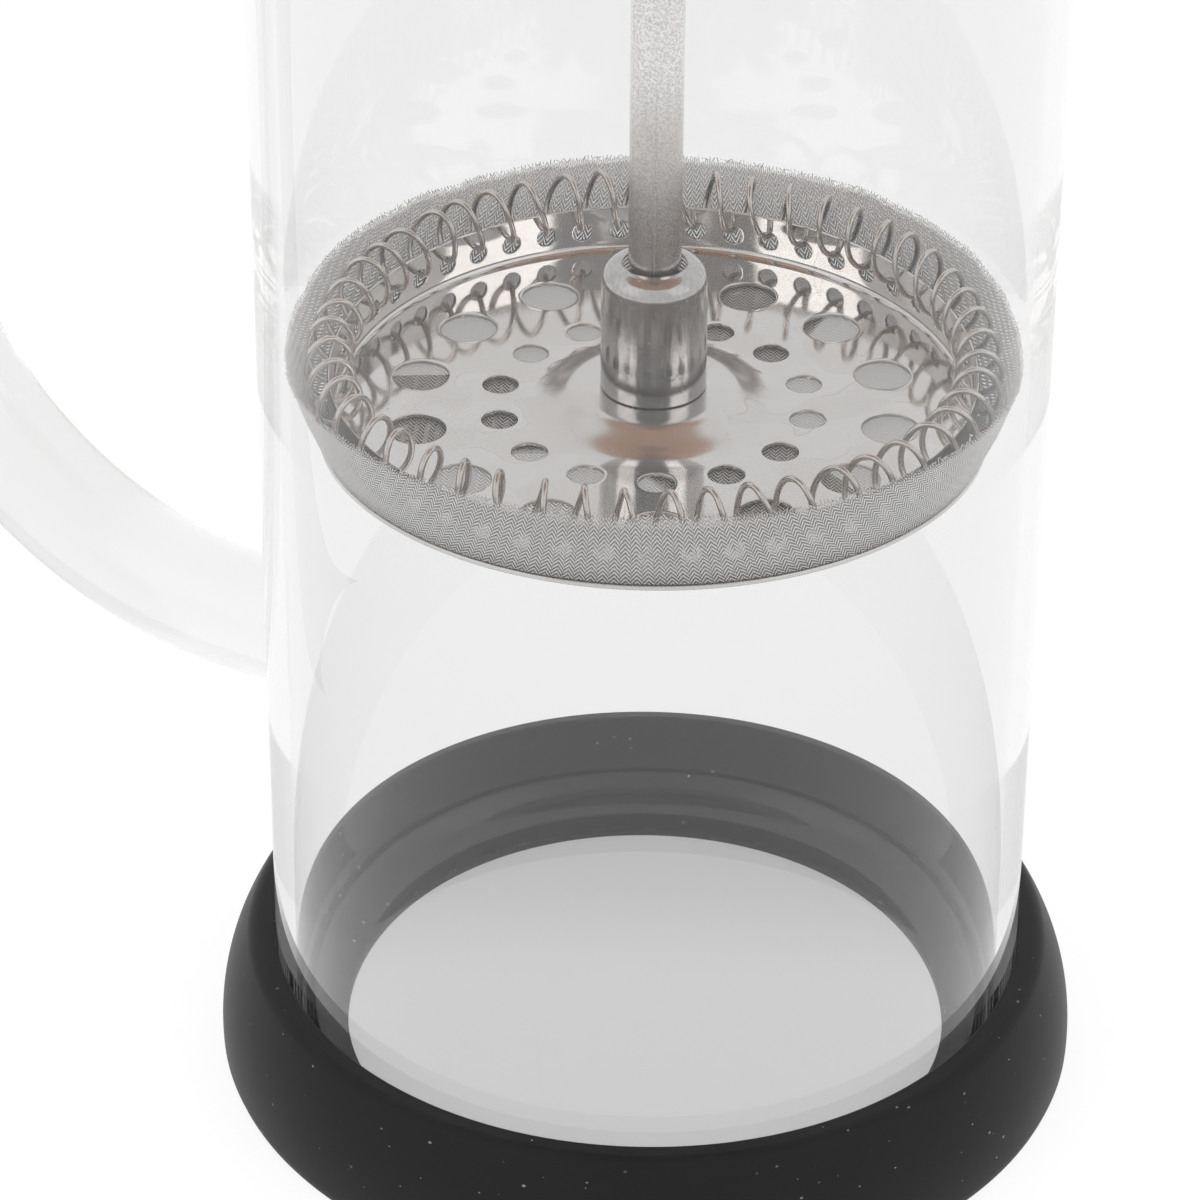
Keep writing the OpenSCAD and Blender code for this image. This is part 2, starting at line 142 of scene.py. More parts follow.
class FilterSettings(bpy.types.PropertyGroup):
    """Sizes of the pierced dish, the coil spring and the mesh cup."""
    sheet: length("Sheet", "Thickness of the polished dish", 0.4)
    wall_out_r: length("Wall radius", "Outer radius of the dish's wall", 37.1)
    wall_h: length("Wall height", "Height of the dish's wall above its face", 5.6)
    bend: length("Bend", "Radius where the face turns up into the wall", 0.8)
    boss_h: length("Raised centre height", "Height of the raised centre", 2.4)
    boss_r: length("Raised centre radius", "Radius where the raised flat turns down", 9.3)
    boss_foot_r: length("Raised centre foot", "Radius where its slope meets the face", 12.9)
    boss_bend: length("Raised centre bend", "Radius of the upper bend of that slope", 3)
    boss_run: length("Raised centre run-out", "Radius of the lower bend of that slope", 8)
    centre_hole_r: length("Centre hole", "Radius of the hole for the stud", 2.67)
    hole_count: count("Holes", "Number of large and of small holes", 14, 6, 24)
    large_ring_r: length("Large hole circle", "Radius of the circle of large holes", 27.4)
    large_hole_r: length("Large hole", "Radius of a large hole", 3.3)
    small_ring_r: length("Small hole circle", "Radius of the circle of small holes", 17.9)
    small_hole_r: length("Small hole", "Radius of a small hole", 2.05)
    parting_r: length("Parting", "Radius between the two circles of holes", 22.4)
    pierced_r: length("Pierced part", "Radius where the pierced part of the face ends", 32.4)
    turned: turn("Turned", "How far the filter is turned about the rod", 17.7)
    coil_turns: count("Coil turns", "Turns of the coil, each through its own hole", 50, 20, 80)
    wire_r: length("Wire radius", "Radius of the coil's wire", 0.35)
    pass_hole_r: length("Pass hole", "Radius of each hole in the wall", 1.2)
    pass_hole_h: length("Pass hole height", "Height of the holes in the wall above the face", 2.5)
    unevenness: number("Unevenness", "How much the coil's turns lean and differ", 1.0, 0, 3)
    mesh_t: length("Mesh thickness", "Thickness of the woven sheet", 0.05)
    mesh_bend: length("Mesh bend", "Radius where the mesh turns up from the cross plate", 0.5)
    knee_out: length("Knee", "How far the mesh has leaned out at its knee", 2.0)
    knee_h: length("Knee height", "Height of the knee above the dish's face", 4.6)
    knee_bend: length("Knee bend", "Radius of the mesh's bend at its knee", 3)
    eyelet_grip: length("Eyelet grip", "How far the eyelet reaches out over the mesh", 2.2)
    column_pitch: length("Weave column", "Width of one zigzag of the weave", 1.24)
    row_pitch: length("Weave row", "Distance between the weave's wires", 0.70)
    weave_turn: turn("Weave turn", "Direction of the weave's columns about the rod", -64)
    loose_ends: count("Loose ends", "Number of loose wire ends along the mesh's edge", 560)
    end_r: length("Loose end radius", "Radius of a loose wire end", 0.06)
    end_l: length("Loose end length", "Length of a loose wire end", 0.75)
    spokes: count("Spokes", "Number of spokes of the cross plate", 3, 2, 8)
    spoke_w: length("Spoke width", "Width of the cross plate's spokes", 17)
    window_r: length("Window radius", "Outer radius of the cross plate's windows", 33.5)
    core_r: length("Core radius", "Radius of the cross plate's solid centre", 11)
    cross_turned: turn("Cross turned", "How far the cross plate is turned about the rod", 93)


class PlungerSettings(bpy.types.PropertyGroup):
    """Sizes of the rod, its hub and the bush that it slides in."""
    rod_wall: length("Rod wall", "Wall of the steel tube", 0.8)
    rod_chamfer: length("Rod chamfer", "Chamfer at the tube's ends", 0.35)
    mouth_r: length("Mouth", "Radius of the hub's mouth around the rod", 3.65)
    mouth_depth: length("Mouth depth", "Depth of the hub's mouth", 2.4)
    thread_r: length("Thread radius", "Radius of the thread through the hub", 2.5)
    # Painted shade: the tube is painted darker up to this height, inside the mesh cup.
    darkened: length("Darkened", "How far up the tube its stained end reaches", 20)
    collar: length("Collar", "Height of the smooth band at the hub's foot", 3.7)
    bore_r: length("Bush bore", "Radius of the bush's bore", 3.08)
    bush_r: length("Bush radius", "Outer radius of the bush in the lid", 4.98)
    seam_turn: turn("Seam", "Where the tube's weld seam lies about its axis", -62)


class WoodSettings(bpy.types.PropertyGroup):
    """Sizes and colours of the turned wooden parts."""
    edge_r: length("Lid edge", "Rounding of the lid's upper edge", 4)
    groove: length("Groove", "Depth of the seal's groove in the plug", 1.5)
    fin_t: length("Fin", "Thickness of each of the seal's fins", 0.9)
    knob_flat_r: length("Knob flat", "Radius of the flat under the knob", 9)
    insert_r: length("Insert radius", "Radius of the hole for the threaded insert", 4)
    insert_l: length("Insert length", "Depth of the hole for the threaded insert", 12)
    light: colour("Light grain", "Colour between the grain lines", (0.90, 0.57, 0.41))
    dark: colour("Dark grain", "Colour of the grain lines", (0.70, 0.42, 0.28))


class StudioSettings(bpy.types.PropertyGroup):
    """Camera, lights and floor."""
    camera_place: bpy.props.FloatVectorProperty(
        name="Camera place", description="Where the camera stands",
        default=(0.24378, -0.43928, 0.37932), subtype="TRANSLATION", unit="LENGTH", precision=5,
    )
    camera_heading: turn("Heading", "Direction that the camera looks in, about Z", 29.70)
    camera_pitch: turn("Pitch", "How far the camera looks down", 32.35)
    camera_roll: turn("Roll", "How far the camera leans", 0.40)
    lens: bpy.props.FloatProperty(
        name="Lens", description="Focal length on a 36 mm sensor", default=152.65,
        subtype="DISTANCE_CAMERA",
    )
    box_power: number("Softbox power", "Power of each side softbox in watts", 1.9)
    sky: number("Sky", "Strength of the even light from all round", 0.62)
    gap_shade: number("Gap shade", "Mirrored brightness of the gap between the softboxes", 0.46)
    box_shine: number("Softbox shine", "Mirrored brightness of the softboxes", 2.8)
    outer_shine: number("Outer shine", "Share of that contrast on the object's outside", 0.14, 0, 1)
    box_turn: turn("Softbox turn", "Direction of each softbox from the camera's side", 60)
    box_half: turn("Softbox half width", "Half of the angle that each softbox spans", 23)
    floor_colour: colour("Floor colour", "Colour that lights the object", (0.85, 0.85, 0.85))
    floor_seen: colour("Floor shade", "Colour that is seen, beside the glow", (0.22, 0.22, 0.22))
    floor_glow: number("Floor glow", "Even brightness that the floor has of its own", 0.85)
    seat_glow: number("Seat glow", "The same inside the base ring", 0.57)
    seat_fade: number("Seat fade", "How much weaker that is beyond the ring's middle", 0.14)
    fade_from: length("Fade from", "How far beyond the middle that starts", 3.98)
    fade_to: length("Fade to", "How far beyond the middle it is complete", 33.84)


# ---------------------------------------------------------------- node trees as expressions


def math_method(operation, swapped=False):
    """A method of Value that adds a Math node."""
    def method(self, *others):
        terms = (self, *others)
        return self.net.math(operation, *(reversed(terms) if swapped else terms))
    return method


class Value:
    """An output in a node tree. Python arithmetic on a number adds Math nodes."""

    def __init__(self, net, socket):
        self.net = net
        self.socket = socket

    __add__ = __radd__ = math_method("ADD")
    __sub__ = math_method("SUBTRACT")
    __rsub__ = math_method("SUBTRACT", swapped=True)
    __mul__ = __rmul__ = math_method("MULTIPLY")
    __truediv__ = math_method("DIVIDE")
    __abs__ = math_method("ABSOLUTE")
    fraction = math_method("FRACT")
    whole = math_method("FLOOR")
    most = math_method("MAXIMUM")
    least = math_method("MINIMUM")
    above = math_method("GREATER_THAN")


class Net:
    """A shader or geometry tree that is written as expressions."""

    def __init__(self, tree):
        self.tree = tree
        tree.nodes.clear()

    def node(self, kind, settings=None, inputs=None):
        """Adds a node. Settings are set first, and inputs are values, sockets or Values."""
        made = self.tree.nodes.new(kind)
        for key, value in (settings or {}).items():
            setattr(made, key, value)
        for key, value in (inputs or {}).items():
            value = getattr(value, "socket", value)
            if isinstance(value, bpy.types.NodeSocket):
                self.tree.links.new(value, made.inputs[key])
            else:
                made.inputs[key].default_value = value
        return made

    def value(self, kind, settings=None, inputs=None, output=0):
        """Adds a node and gives one of its outputs, by number or by name."""
        return Value(self, self.node(kind, settings, inputs).outputs[output])

    def math(self, operation, *terms):
        return self.value("ShaderNodeMath", {"operation": operation}, dict(enumerate(terms)))

    def vector_math(self, operation, *terms):
        output = "Value" if operation == "DOT_PRODUCT" else "Vector"
        inputs = dict(enumerate(terms))
        return self.value("ShaderNodeVectorMath", {"operation": operation}, inputs, output)

    def hypotenuse(self, a, b):
        return self.math("SQRT", a * a + b * b)

    def ease(self, value, low, high):
        """0 below low and 1 above high, with a smooth step between."""
        return self.value(
            "ShaderNodeMapRange", {"interpolation_type": "SMOOTHSTEP"}, {0: value, 1: low, 2: high}
        )

    def vector(self, x, y, z):
        return self.value("ShaderNodeCombineXYZ", inputs={0: x, 1: y, 2: z})

    def parts(self, vector):
        """The three numbers of a vector or a colour."""
        made = self.node("ShaderNodeSeparateXYZ", inputs={0: vector})
        return [Value(self, socket) for socket in made.outputs]

    def mix(self, factor, a, b):
        """A colour between the colours a and b."""
        inputs = {0: factor, 6: rgba(a), 7: rgba(b)}
        return self.value("ShaderNodeMix", {"data_type": "RGBA"}, inputs, 2)

    def noise(self, place, scale, detail=2.0, roughness=0.5):
        return self.value(
            "ShaderNodeTexNoise",
            inputs={"Vector": place, "Scale": scale, "Detail": detail, "Roughness": roughness},
        )

    def grain(self, x, y, z, detail=2.0, roughness=0.6):
        """Noise over numbers that each carry their own scale."""
        return self.noise(self.vector(x, y, z), 1.0, detail, roughness)

    def object_place(self):
        return self.value("ShaderNodeTexCoord", output="Object")

    def attribute(self, name):
        return self.value("ShaderNodeAttribute", {"attribute_name": name}, output="Vector")

    def bump(self, height, distance):
        return self.value("ShaderNodeBump", inputs={"Height": height, "Distance": distance})

    def principled(self, inputs):
        inputs = {key: rgba(value) if "Color" in key else value for key, value in inputs.items()}
        return self.value("ShaderNodeBsdfPrincipled", inputs=inputs)

    def light_path(self, *rays):
        """1 for any of the kinds of ray, and 0 for others."""
        found = [self.value("ShaderNodeLightPath", output=f"Is {ray} Ray") for ray in rays]
        return functools.reduce(Value.most, found)

    def light_depth(self, kind):
        """How often a ray has done a kind of thing so far."""
        return self.value("ShaderNodeLightPath", output=f"{kind} Depth")

    def mixed_shader(self, factor, a, b):
        return self.value("ShaderNodeMixShader", inputs={0: factor, 1: a, 2: b})


def rgba(value):
    """A colour with its alpha, or the Value that it comes from."""
    return value if isinstance(value, Value) else (*value[:3], 1.0)


def material(build):
    """Turns build(net, ...), which gives a surface, into a function that makes the material."""
    @functools.wraps(build)
    def make(*settings):
        made = bpy.data.materials.new(build.__name__)
        made.use_nodes = True
        net = Net(made.node_tree)
        net.node("ShaderNodeOutputMaterial", inputs={"Surface": build(net, *settings)})
        return made
    return make


# ---------------------------------------------------------------- materials
# The scales of noise are in turns per metre, and the other bare numbers are shares of one.


@material
def clear_glass(net, tint, rod_tint, handle_from):
    """Clear glass that lets lamps and soft light through to what it holds. The drawn rod of the
    handle, beyond a distance from the axis, isn't as even as the blown wall. Light that has
    already turned several times in it goes straight out."""
    x = net.parts(net.object_place())[0]
    in_handle = net.ease(0 - x, handle_from, handle_from + 3 * MM)
    glass = net.principled({
        "Base Color": net.mix(in_handle, tint, rod_tint), "Roughness": in_handle * 0.12,
        "IOR": 1.47, "Transmission Weight": 1.0,
    })
    half_tint = rgba([math.sqrt(channel) for channel in tint])
    passing = net.value("ShaderNodeBsdfTransparent", inputs={"Color": half_tint})
    passes = net.light_path("Shadow", "Diffuse").most(net.light_depth("Ray").above(2.5))
    return net.mixed_shader(passes, glass, passing)


@material
def black_silicone(net, dust_r):
    """Matt black silicone with a soft sheen along its outline and a few specks of dust."""
    place = net.object_place()
    x, y, z = net.parts(place)
    out = net.hypotenuse(x, y)
    flat = net.vector(net.math("ARCTAN2", y, x) * dust_r, z * 1.2 - out, 0.0)
    cloud = net.noise(place, 60, 4, 0.6)
    tooth = net.noise(place, 1500, 2, 0.5)
    dust = None
    for scale, most in ((170.0, 0.05), (420.0, 0.11)):
        cell = net.node(
            "ShaderNodeTexVoronoi", {"voronoi_dimensions": "2D", "feature": "F1"},
            {"Vector": flat, "Scale": scale, "Randomness": 1.0},
        )
        chance = net.parts(cell.outputs["Color"])[0]
        size = (chance - 0.80).most(0) * most * 5
        speck = net.ease(size - Value(net, cell.outputs["Distance"]), 0, 0.03)
        dust = speck if dust is None else dust.most(speck * 0.6)
    dust = dust * net.ease(cloud, 0.38, 0.62)
    base = net.mix(cloud, (0.007, 0.007, 0.0075), (0.013, 0.013, 0.0138))
    return net.principled({
        "Base Color": net.mix(dust, base, (0.52, 0.48, 0.46)),
        "Roughness": 0.44 + 0.10 * cloud + 0.2 * dust,
        "Specular IOR Level": 0.20,
        "Sheen Weight": 0.07,
        "Sheen Roughness": 0.3,
        "Normal": net.bump(tooth, 0.01 * MM),
    })


@material
def clear_silicone(net):
    """Milky seal rubber."""
    haze = net.noise(net.object_place(), 240, 3, 0.55)
    return net.principled({
        "Base Color": net.mix(haze, (0.42, 0.42, 0.41), (0.50, 0.50, 0.49)),
        "Roughness": 0.34 + 0.12 * haze,
        "Subsurface Weight": 0.2,
        "Subsurface Scale": 2 * MM,
        "Normal": net.bump(haze, 0.03 * MM),
    })


@material
def turned_wood(net, light, dark, centre):
    """Oiled wood. The growth rings run round an axis that lies beside the piece, along X."""
    x, y, z = net.parts(net.vector_math("SUBTRACT", net.object_place(), tuple(centre)))
    wander = net.grain(x * 14, y * 60, z * 60, 3, 0.55) - 0.5
    ring_r = net.hypotenuse(y + 31 * MM, z + 52 * MM) + wander * (6 * MM)
    ring = (ring_r / (2.1 * MM)).fraction()
    late = net.ease(ring, 0.45, 0.97) * (1 - net.ease(ring, 0.97, 1.0))
    fibre = net.grain(x * 90, y * 2600, z * 2600, 3)
    pore = net.ease(net.grain(x * 260, y * 4200, z * 4200, 1, 0.5), 0.66, 0.78)
    fleck = net.ease(net.grain(x * 120, y * 520, z * 1900, 2, 0.5), 0.60, 0.72)
    depth = late * 0.55 + fibre * 0.42 + pore * 0.35 - fleck * 0.18
    return net.principled({
        "Base Color": net.mix(net.ease(depth, -0.1, 1.05), light, dark),
        "Roughness": 0.40 + 0.2 * fibre - 0.08 * late,
        "Coat Weight": 0.10,
        "Coat Roughness": 0.3,
        "Normal": net.bump(fibre * 0.4 - pore, 0.06 * MM),
    })


def hairlines(net, place, angle, fine=5200.0, long=70.0):
    """Fine straight polishing lines in the plane of X and Y, as noise around 0.5."""
    x, y, z = net.parts(place)
    c, s = math.cos(angle), math.sin(angle)
    return net.grain((x * c + y * s) * long, (y * c - x * s) * fine, z * fine)


@material
def polished_steel(net, shade_from=1.0, soft_within=-1.0):
    """Bright stamped steel with faint hairlines, small marks, dried stains and a slight waviness.
    Beyond a distance from the axis it is painted dark and made rough, as painted shade on the outer
    side of the dish's wall behind the mesh, and within another it mirrors softly. No piece is as
    far out as the first default, and none is within the second."""
    place = net.object_place()
    x, y = net.parts(place)[:2]
    out = net.hypotenuse(x, y)
    # Painted shade: beyond that radius, on the outer side of the dish's wall, the steel is painted
    # dark.
    painted_shade = net.ease(out, shade_from - 0.04 * MM, shade_from + 0.04 * MM)
    soft = 1 - net.ease(out, soft_within - 1 * MM, soft_within + 1 * MM)
    lines = hairlines(net, place, 0.5) * 0.5 + hairlines(net, place, 2.2, 4300) * 0.5
    scratch = net.ease(hairlines(net, place, 1.3, 1900, 24), 0.70, 0.80)
    scratch = scratch.most(net.ease(hairlines(net, place, -0.5, 1700, 30), 0.71, 0.80))
    pit = net.ease(net.noise(place, 1700, 1, 0.4), 0.74, 0.80)
    wave = net.noise(place, 55, 1, 0.4)
    smear = net.noise(place, 120, 3, 0.6)
    dried = net.noise(place, 75, 2, 0.45)
    tide = (1 - net.ease(abs(dried - 0.52), 0.0, 0.006)) * net.ease(smear, 0.42, 0.56)
    inside = net.ease(dried, 0.50, 0.56) * 0.12
    height = wave * 0.7 + lines * 0.012 - scratch * 0.03 - pit * 0.05
    rough = 0.045 + 0.07 * smear + 0.09 * scratch + 0.12 * pit
    clean = net.mix(smear, (0.60, 0.58, 0.565), (0.67, 0.65, 0.635))
    darkened = net.mix(tide * 0.30 + inside + pit * 0.4, clean, (0.40, 0.34, 0.30))
    return net.principled({
        "Base Color": net.mix(painted_shade, darkened, (0.10, 0.098, 0.095)),
        "Metallic": 1.0,
        "Roughness": rough + 0.25 * painted_shade + 0.13 * soft,
        "Normal": net.bump(height, 0.08 * MM),
    })


@material
def turned_steel(net, dark_r, collar_z):
    """Steel from the lathe: fine rings and nicks, faint upright drag lines above a smooth collar,
    and a bore within a radius that is painted dark and rough, as painted shade inside the mouth."""
    place = net.object_place()
    x, y, z = net.parts(place)
    out = net.hypotenuse(x, y)
    ring = net.grain(out * 6000, 0.0, z * 6000)
    nick = net.ease(net.noise(place, 2300, 2, 0.6), 0.62, 0.74)
    smear = net.noise(place, 420, 3, 0.6)
    drag = net.grain(x * 2400, y * 2400, z * 90)
    upper = net.ease(z, collar_z, collar_z + 0.4 * MM)
    band = upper * (1 - net.ease(z, collar_z + 0.6 * MM, collar_z + 2.2 * MM))
    # Painted shade: the bore within the mouth's radius is painted dark.
    bore = 1 - net.ease(out, dark_r - 0.12 * MM, dark_r)
    streak = smear * 0.35 + drag * upper * 0.65
    bright = net.mix(streak, (0.30, 0.288, 0.287), (0.66, 0.642, 0.628))
    # Painted shade in the bore, joined with the real nicks and a darker band just above the collar.
    dark = (bore * 0.9).most(nick * 0.25 + band * 0.38)
    return net.principled({
        "Base Color": net.mix(dark, bright, (0.08, 0.075, 0.07)),
        "Metallic": 1.0,
        "Roughness": 0.07 + 0.10 * smear + 0.2 * nick + 0.15 * bore,
        "Normal": net.bump(ring * 0.2 - nick + smear * 0.5 + drag * upper * 0.8, 0.03 * MM),
    })


@material
def satin_steel(net, seam_turn, shade_z):
    """Drawn tube with a fine speckle, faint lengthwise grain and a thin weld seam. It is painted
    darker towards its lower end, as painted shade inside the mesh cup."""
    place = net.object_place()
    x, y, z = net.parts(place)
    around = net.math("ARCTAN2", y, x)
    grain = net.grain(x * 1500, y * 1500, z * 60)
    speckle = net.noise(place, 3600, 2, 0.55)
    seam = 1 - net.ease(abs(around - seam_turn), 0.008, 0.035)
    clean = net.mix(net.ease(speckle, 0.3, 0.7), (0.62, 0.595, 0.58), (0.94, 0.925, 0.915))
    # Painted shade: the tube is darker below a height, inside the mesh cup.
    lower_shade = 1 - net.ease(z + (grain - 0.5) * (8 * MM), shade_z - 4 * MM, shade_z + 6 * MM)
    return net.principled({
        "Base Color": net.mix(lower_shade * 0.5, clean, (0.42, 0.385, 0.365)),
        "Metallic": 1.0,
        "Roughness": 0.14 + 0.10 * speckle + 0.06 * grain + 0.1 * seam,
        "Normal": net.bump(grain * 0.25 + speckle * 0.5 - seam * 0.7, 0.03 * MM),
    })


@material
def spring_steel(net):
    """Bright drawn wire with a light warm tone."""
    place = net.object_place()
    mark = net.noise(place, 900, 3, 0.6)
    return net.principled({
        "Base Color": net.mix(mark, (0.44, 0.40, 0.375), (0.64, 0.605, 0.58)),
        "Metallic": 1.0,
        "Roughness": 0.15 + 0.14 * mark,
        "Normal": net.bump(mark, 0.02 * MM),
    })


@material
def woven_steel(net, column_pitch, row_pitch):
    """Woven wire cloth: slanting wires that turn back at each column, with gaps between them. The
    wires' crests are painted bright as highlights and their sides dark as shade, and further in
    from the edge, under the dish, all is painted darker as shade.
    """
    across, along, edge = net.parts(net.attribute("weave"))
    flat = net.vector(across, along, 0.0)
    wobble = net.noise(flat, 260, 2, 0.5) - 0.5
    column = (across + wobble * (0.20 * MM)) / column_pitch
    lean = abs(2 * column.fraction() - 1)
    row = (along + wobble * (0.16 * MM)) / row_pitch + lean * 1.4 + column.whole() * 0.5
    from_wire = abs(2 * row.fraction() - 1)
    fold = net.ease(abs(2 * lean - 1), 0.80, 1.0)
    solid = 1 - net.ease(from_wire, 0.50, 0.62)
    # Painted highlight and painted shade: each wire's crest is painted bright and its sides dark,
    # less so where the wires turn back at a column; the same shape makes the bump.
    ridge_highlight = (1 - net.ease(from_wire, 0.14, 0.46)) * (1 - fold * 0.5)
    shade = net.noise(flat, 900, 2, 0.6)
    threads = 1 - net.ease(abs(2 * (across / (column_pitch / 4)).fraction() - 1), 0.35, 0.62)
    loose = 1 - net.ease(edge - shade * (0.9 * MM), 0, 0.7 * MM)
    frayed = net.ease(edge - (shade - 0.42).most(0) * (1.6 * MM), 0, 0.08 * MM)
    # Painted shade: 1 within 8 mm of the raw edge, up the wall, and 0 beyond 12 mm, down to where
    # the mesh lies under the dish and its wires are painted darker as shade. On the wall the gaps
    # are partly filled in grey, as painted shade from behind the mesh.
    unshaded_wall = 1 - net.ease(edge, 8 * MM, 12 * MM)
    gap = 0.05 + 0.30 * unshaded_wall
    # Painted shade and highlight: dark is the shade on the wires' sides and in the gaps, bright the
    # highlight on their crests, both painted darker further in.
    dark = net.mix(unshaded_wall, (0.20, 0.182, 0.170), (0.50, 0.475, 0.455))
    bright = net.mix(unshaded_wall, (0.66, 0.64, 0.62), (0.99, 0.985, 0.98))
    return net.principled({
        "Base Color": net.mix(ridge_highlight, dark, bright),
        "Metallic": 0.3,
        "Roughness": 0.36 + 0.12 * shade,
        "Alpha": (gap + (1 - gap) * solid) * frayed * (1 - loose * (1 - threads) * 0.85),
        "Normal": net.bump(ridge_highlight, 0.04 * MM),
    })


@material
def brass(net):
    """Turned brass."""
    x, y, z = net.parts(net.object_place())
    cut = net.grain(x * 300, y * 300, z * 6000)
    return net.principled({
        "Base Color": net.mix(cut, (0.72, 0.53, 0.24), (0.84, 0.66, 0.34)),
        "Metallic": 1.0,
        "Roughness": 0.22 + 0.14 * cut,
        "Normal": net.bump(cut, 0.02 * MM),
    })


def camera_side(studio):
    """The level direction from the axis to the camera."""
    return Vector((studio.camera_place[0], studio.camera_place[1], 0)).normalized()


@material
def pale_floor(net, studio, seat_r):
    """A white floor that still shows the object's shadow. Its glow lights nothing, and is weaker
    where the base ring shuts off the light."""
    x, y = net.parts(net.object_place())[:2]
    out = net.hypotenuse(x, y)
    front = camera_side(studio)
    beyond = 0 - (x * front.x + y * front.y)
    # Painted shade: the glow is lower inside the base ring and lower still towards its far side.
    seat = studio.seat_glow - net.ease(beyond, studio.fade_from, studio.fade_to) * studio.seat_fade
    glow = seat + net.ease(out, seat_r - 12 * MM, seat_r) * (studio.floor_glow - seat)
    matt = {"Roughness": 0.7, "Specular IOR Level": 0.1}
    lit = net.principled({"Base Color": studio.floor_colour, **matt})
    seen = net.principled({
        "Base Color": studio.floor_seen, **matt,
        "Emission Color": net.vector(glow, glow, glow), "Emission Strength": 1.0,
    })
    return net.mixed_shader(net.light_path("Camera", "Glossy", "Transmission"), lit, seen)


# ---------------------------------------------------------------- outlines and meshes


def polar(r, angle, z):
    """The point at a radius and an angle about Z."""
    return (r * math.cos(angle), r * math.sin(angle), z)


def arc(centre, radius, start, end, steps=8):
    """Points on an arc in an outline. Angles are in degrees from the direction of the radius."""
    angles = [math.radians(start + (end - start) * i / steps) for i in range(steps + 1)]
    return [(centre[0] + radius * math.cos(a), centre[1] + radius * math.sin(a)) for a in angles]


def rounded(corners, steps=4):
    """An outline from corners (r, z) or (r, z, radius), where a radius rounds its corner."""
    points = []
    for i, corner in enumerate(corners):
        if len(corner) == 2:
            points.append(tuple(corner))
            continue
        here = Vector(corner[:2])
        back = (Vector(corners[i - 1][:2]) - here).normalized()
        ahead = (Vector(corners[(i + 1) % len(corners)][:2]) - here).normalized()
        half = back.angle(ahead) / 2
        radius = corner[2]
        centre = here + (back + ahead).normalized() * (radius / math.sin(half))
        first = here + back * (radius / math.tan(half)) - centre
        sweep = math.pi - 2 * half
        side = 1 if back.x * ahead.y - back.y * ahead.x < 0 else -1
        for k in range(steps + 1):
            points.append(tuple(centre + Matrix.Rotation(side * sweep * k / steps, 2) @ first))
    return points


class Shell:
    """The faces of a piece while it is made. Corners in the same place are merged at the end."""

    def __init__(self, attribute=None):
        self.bm = bmesh.new()
        if attribute:
            self.layer = self.bm.verts.layers.float_vector.new(attribute)

    def grid(self, rows, wrap=False, skip=None):
        """Four-sided faces between rows of points. With wrap, the last column joins the first."""
        made = [[self.bm.verts.new(point) for point in row] for row in rows]
        for i in range(len(rows) - 1):
            columns = len(rows[i])
            for j in range(columns if wrap else columns - 1):
                if skip and skip(i, j):
                    continue
                k = (j + 1) % columns
                self.bm.faces.new((made[i][j], made[i][k], made[i + 1][k], made[i + 1][j]))
        return made

    def strip(self, outline, angles, wrap=False):
        """Faces along an outline, turned through a list of angles about Z."""
        self.grid([[polar(r, a, z) for a in angles] for r, z in outline], wrap)

    def turned(self, outline, columns):
        """Faces all the way round Z. An outline that starts and ends off the axis is closed."""
        closed = outline[0][0] > 0 or outline[-1][0] > 0
        loop = outline + outline[:1] if closed else outline
        self.strip(loop, [TURN * j / columns for j in range(columns)], wrap=True)

    def mesh(self, name, merge=2e-7, recalculate=True):
        """Merges what coincides, turns the faces outwards and returns the mesh."""
        bmesh.ops.remove_doubles(self.bm, verts=self.bm.verts, dist=merge)
        bmesh.ops.dissolve_degenerate(self.bm, edges=self.bm.edges, dist=1e-8)
        if recalculate:
            bmesh.ops.recalc_face_normals(self.bm, faces=self.bm.faces)
        made = bpy.data.meshes.new(name)
        self.bm.to_mesh(made)
        self.bm.free()
        return made


def add_object(name, data):
    made = bpy.data.objects.new(name, data)
    bpy.context.scene.collection.objects.link(made)
    return made


def applied(piece):
    """Turns a piece with modifiers, or a curve, into one with a plain mesh."""
    graph = bpy.context.evaluated_depsgraph_get()
    plain = bpy.data.meshes.new_from_object(piece.evaluated_get(graph))
    piece.modifiers.clear()
    if piece.type == "MESH":
        piece.data = plain
        plain.name = piece.name
        return piece
    name = piece.name
    bpy.data.objects.remove(piece)
    return add_object(name, plain)


def smooth(piece, sharp_degrees=35.0):
    """Shades a piece smooth up to an angle, with large faces keeping their own direction."""
    mesh = piece.data
    mesh.shade_smooth()
    mesh.set_sharp_from_angle(angle=math.radians(sharp_degrees))
    weighted = piece.modifiers.new("Weighted", "WEIGHTED_NORMAL")
    weighted.mode = "FACE_AREA"
    weighted.weight = 50
    weighted.keep_sharp = True
    return applied(piece)


def finish_piece(piece, made_of, body, nodes=()):
    """Gives a piece its material and its body, and hides the CAD nodes that it stands for."""
    if made_of is not None:
        piece.data.materials.clear()
        piece.data.materials.append(made_of)
    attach(piece, body)
    if nodes:
        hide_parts(*nodes)
    return piece


def turned_piece(name, outline, made_of, body, node, columns=160):
    """A solid of revolution that stands for a CAD node."""
    shell = Shell()
    shell.turned(outline, columns)
    piece = smooth(add_object(name, shell.mesh(name)))
    return finish_piece(piece, made_of, body, (node,))


# ---------------------------------------------------------------- geometry trees


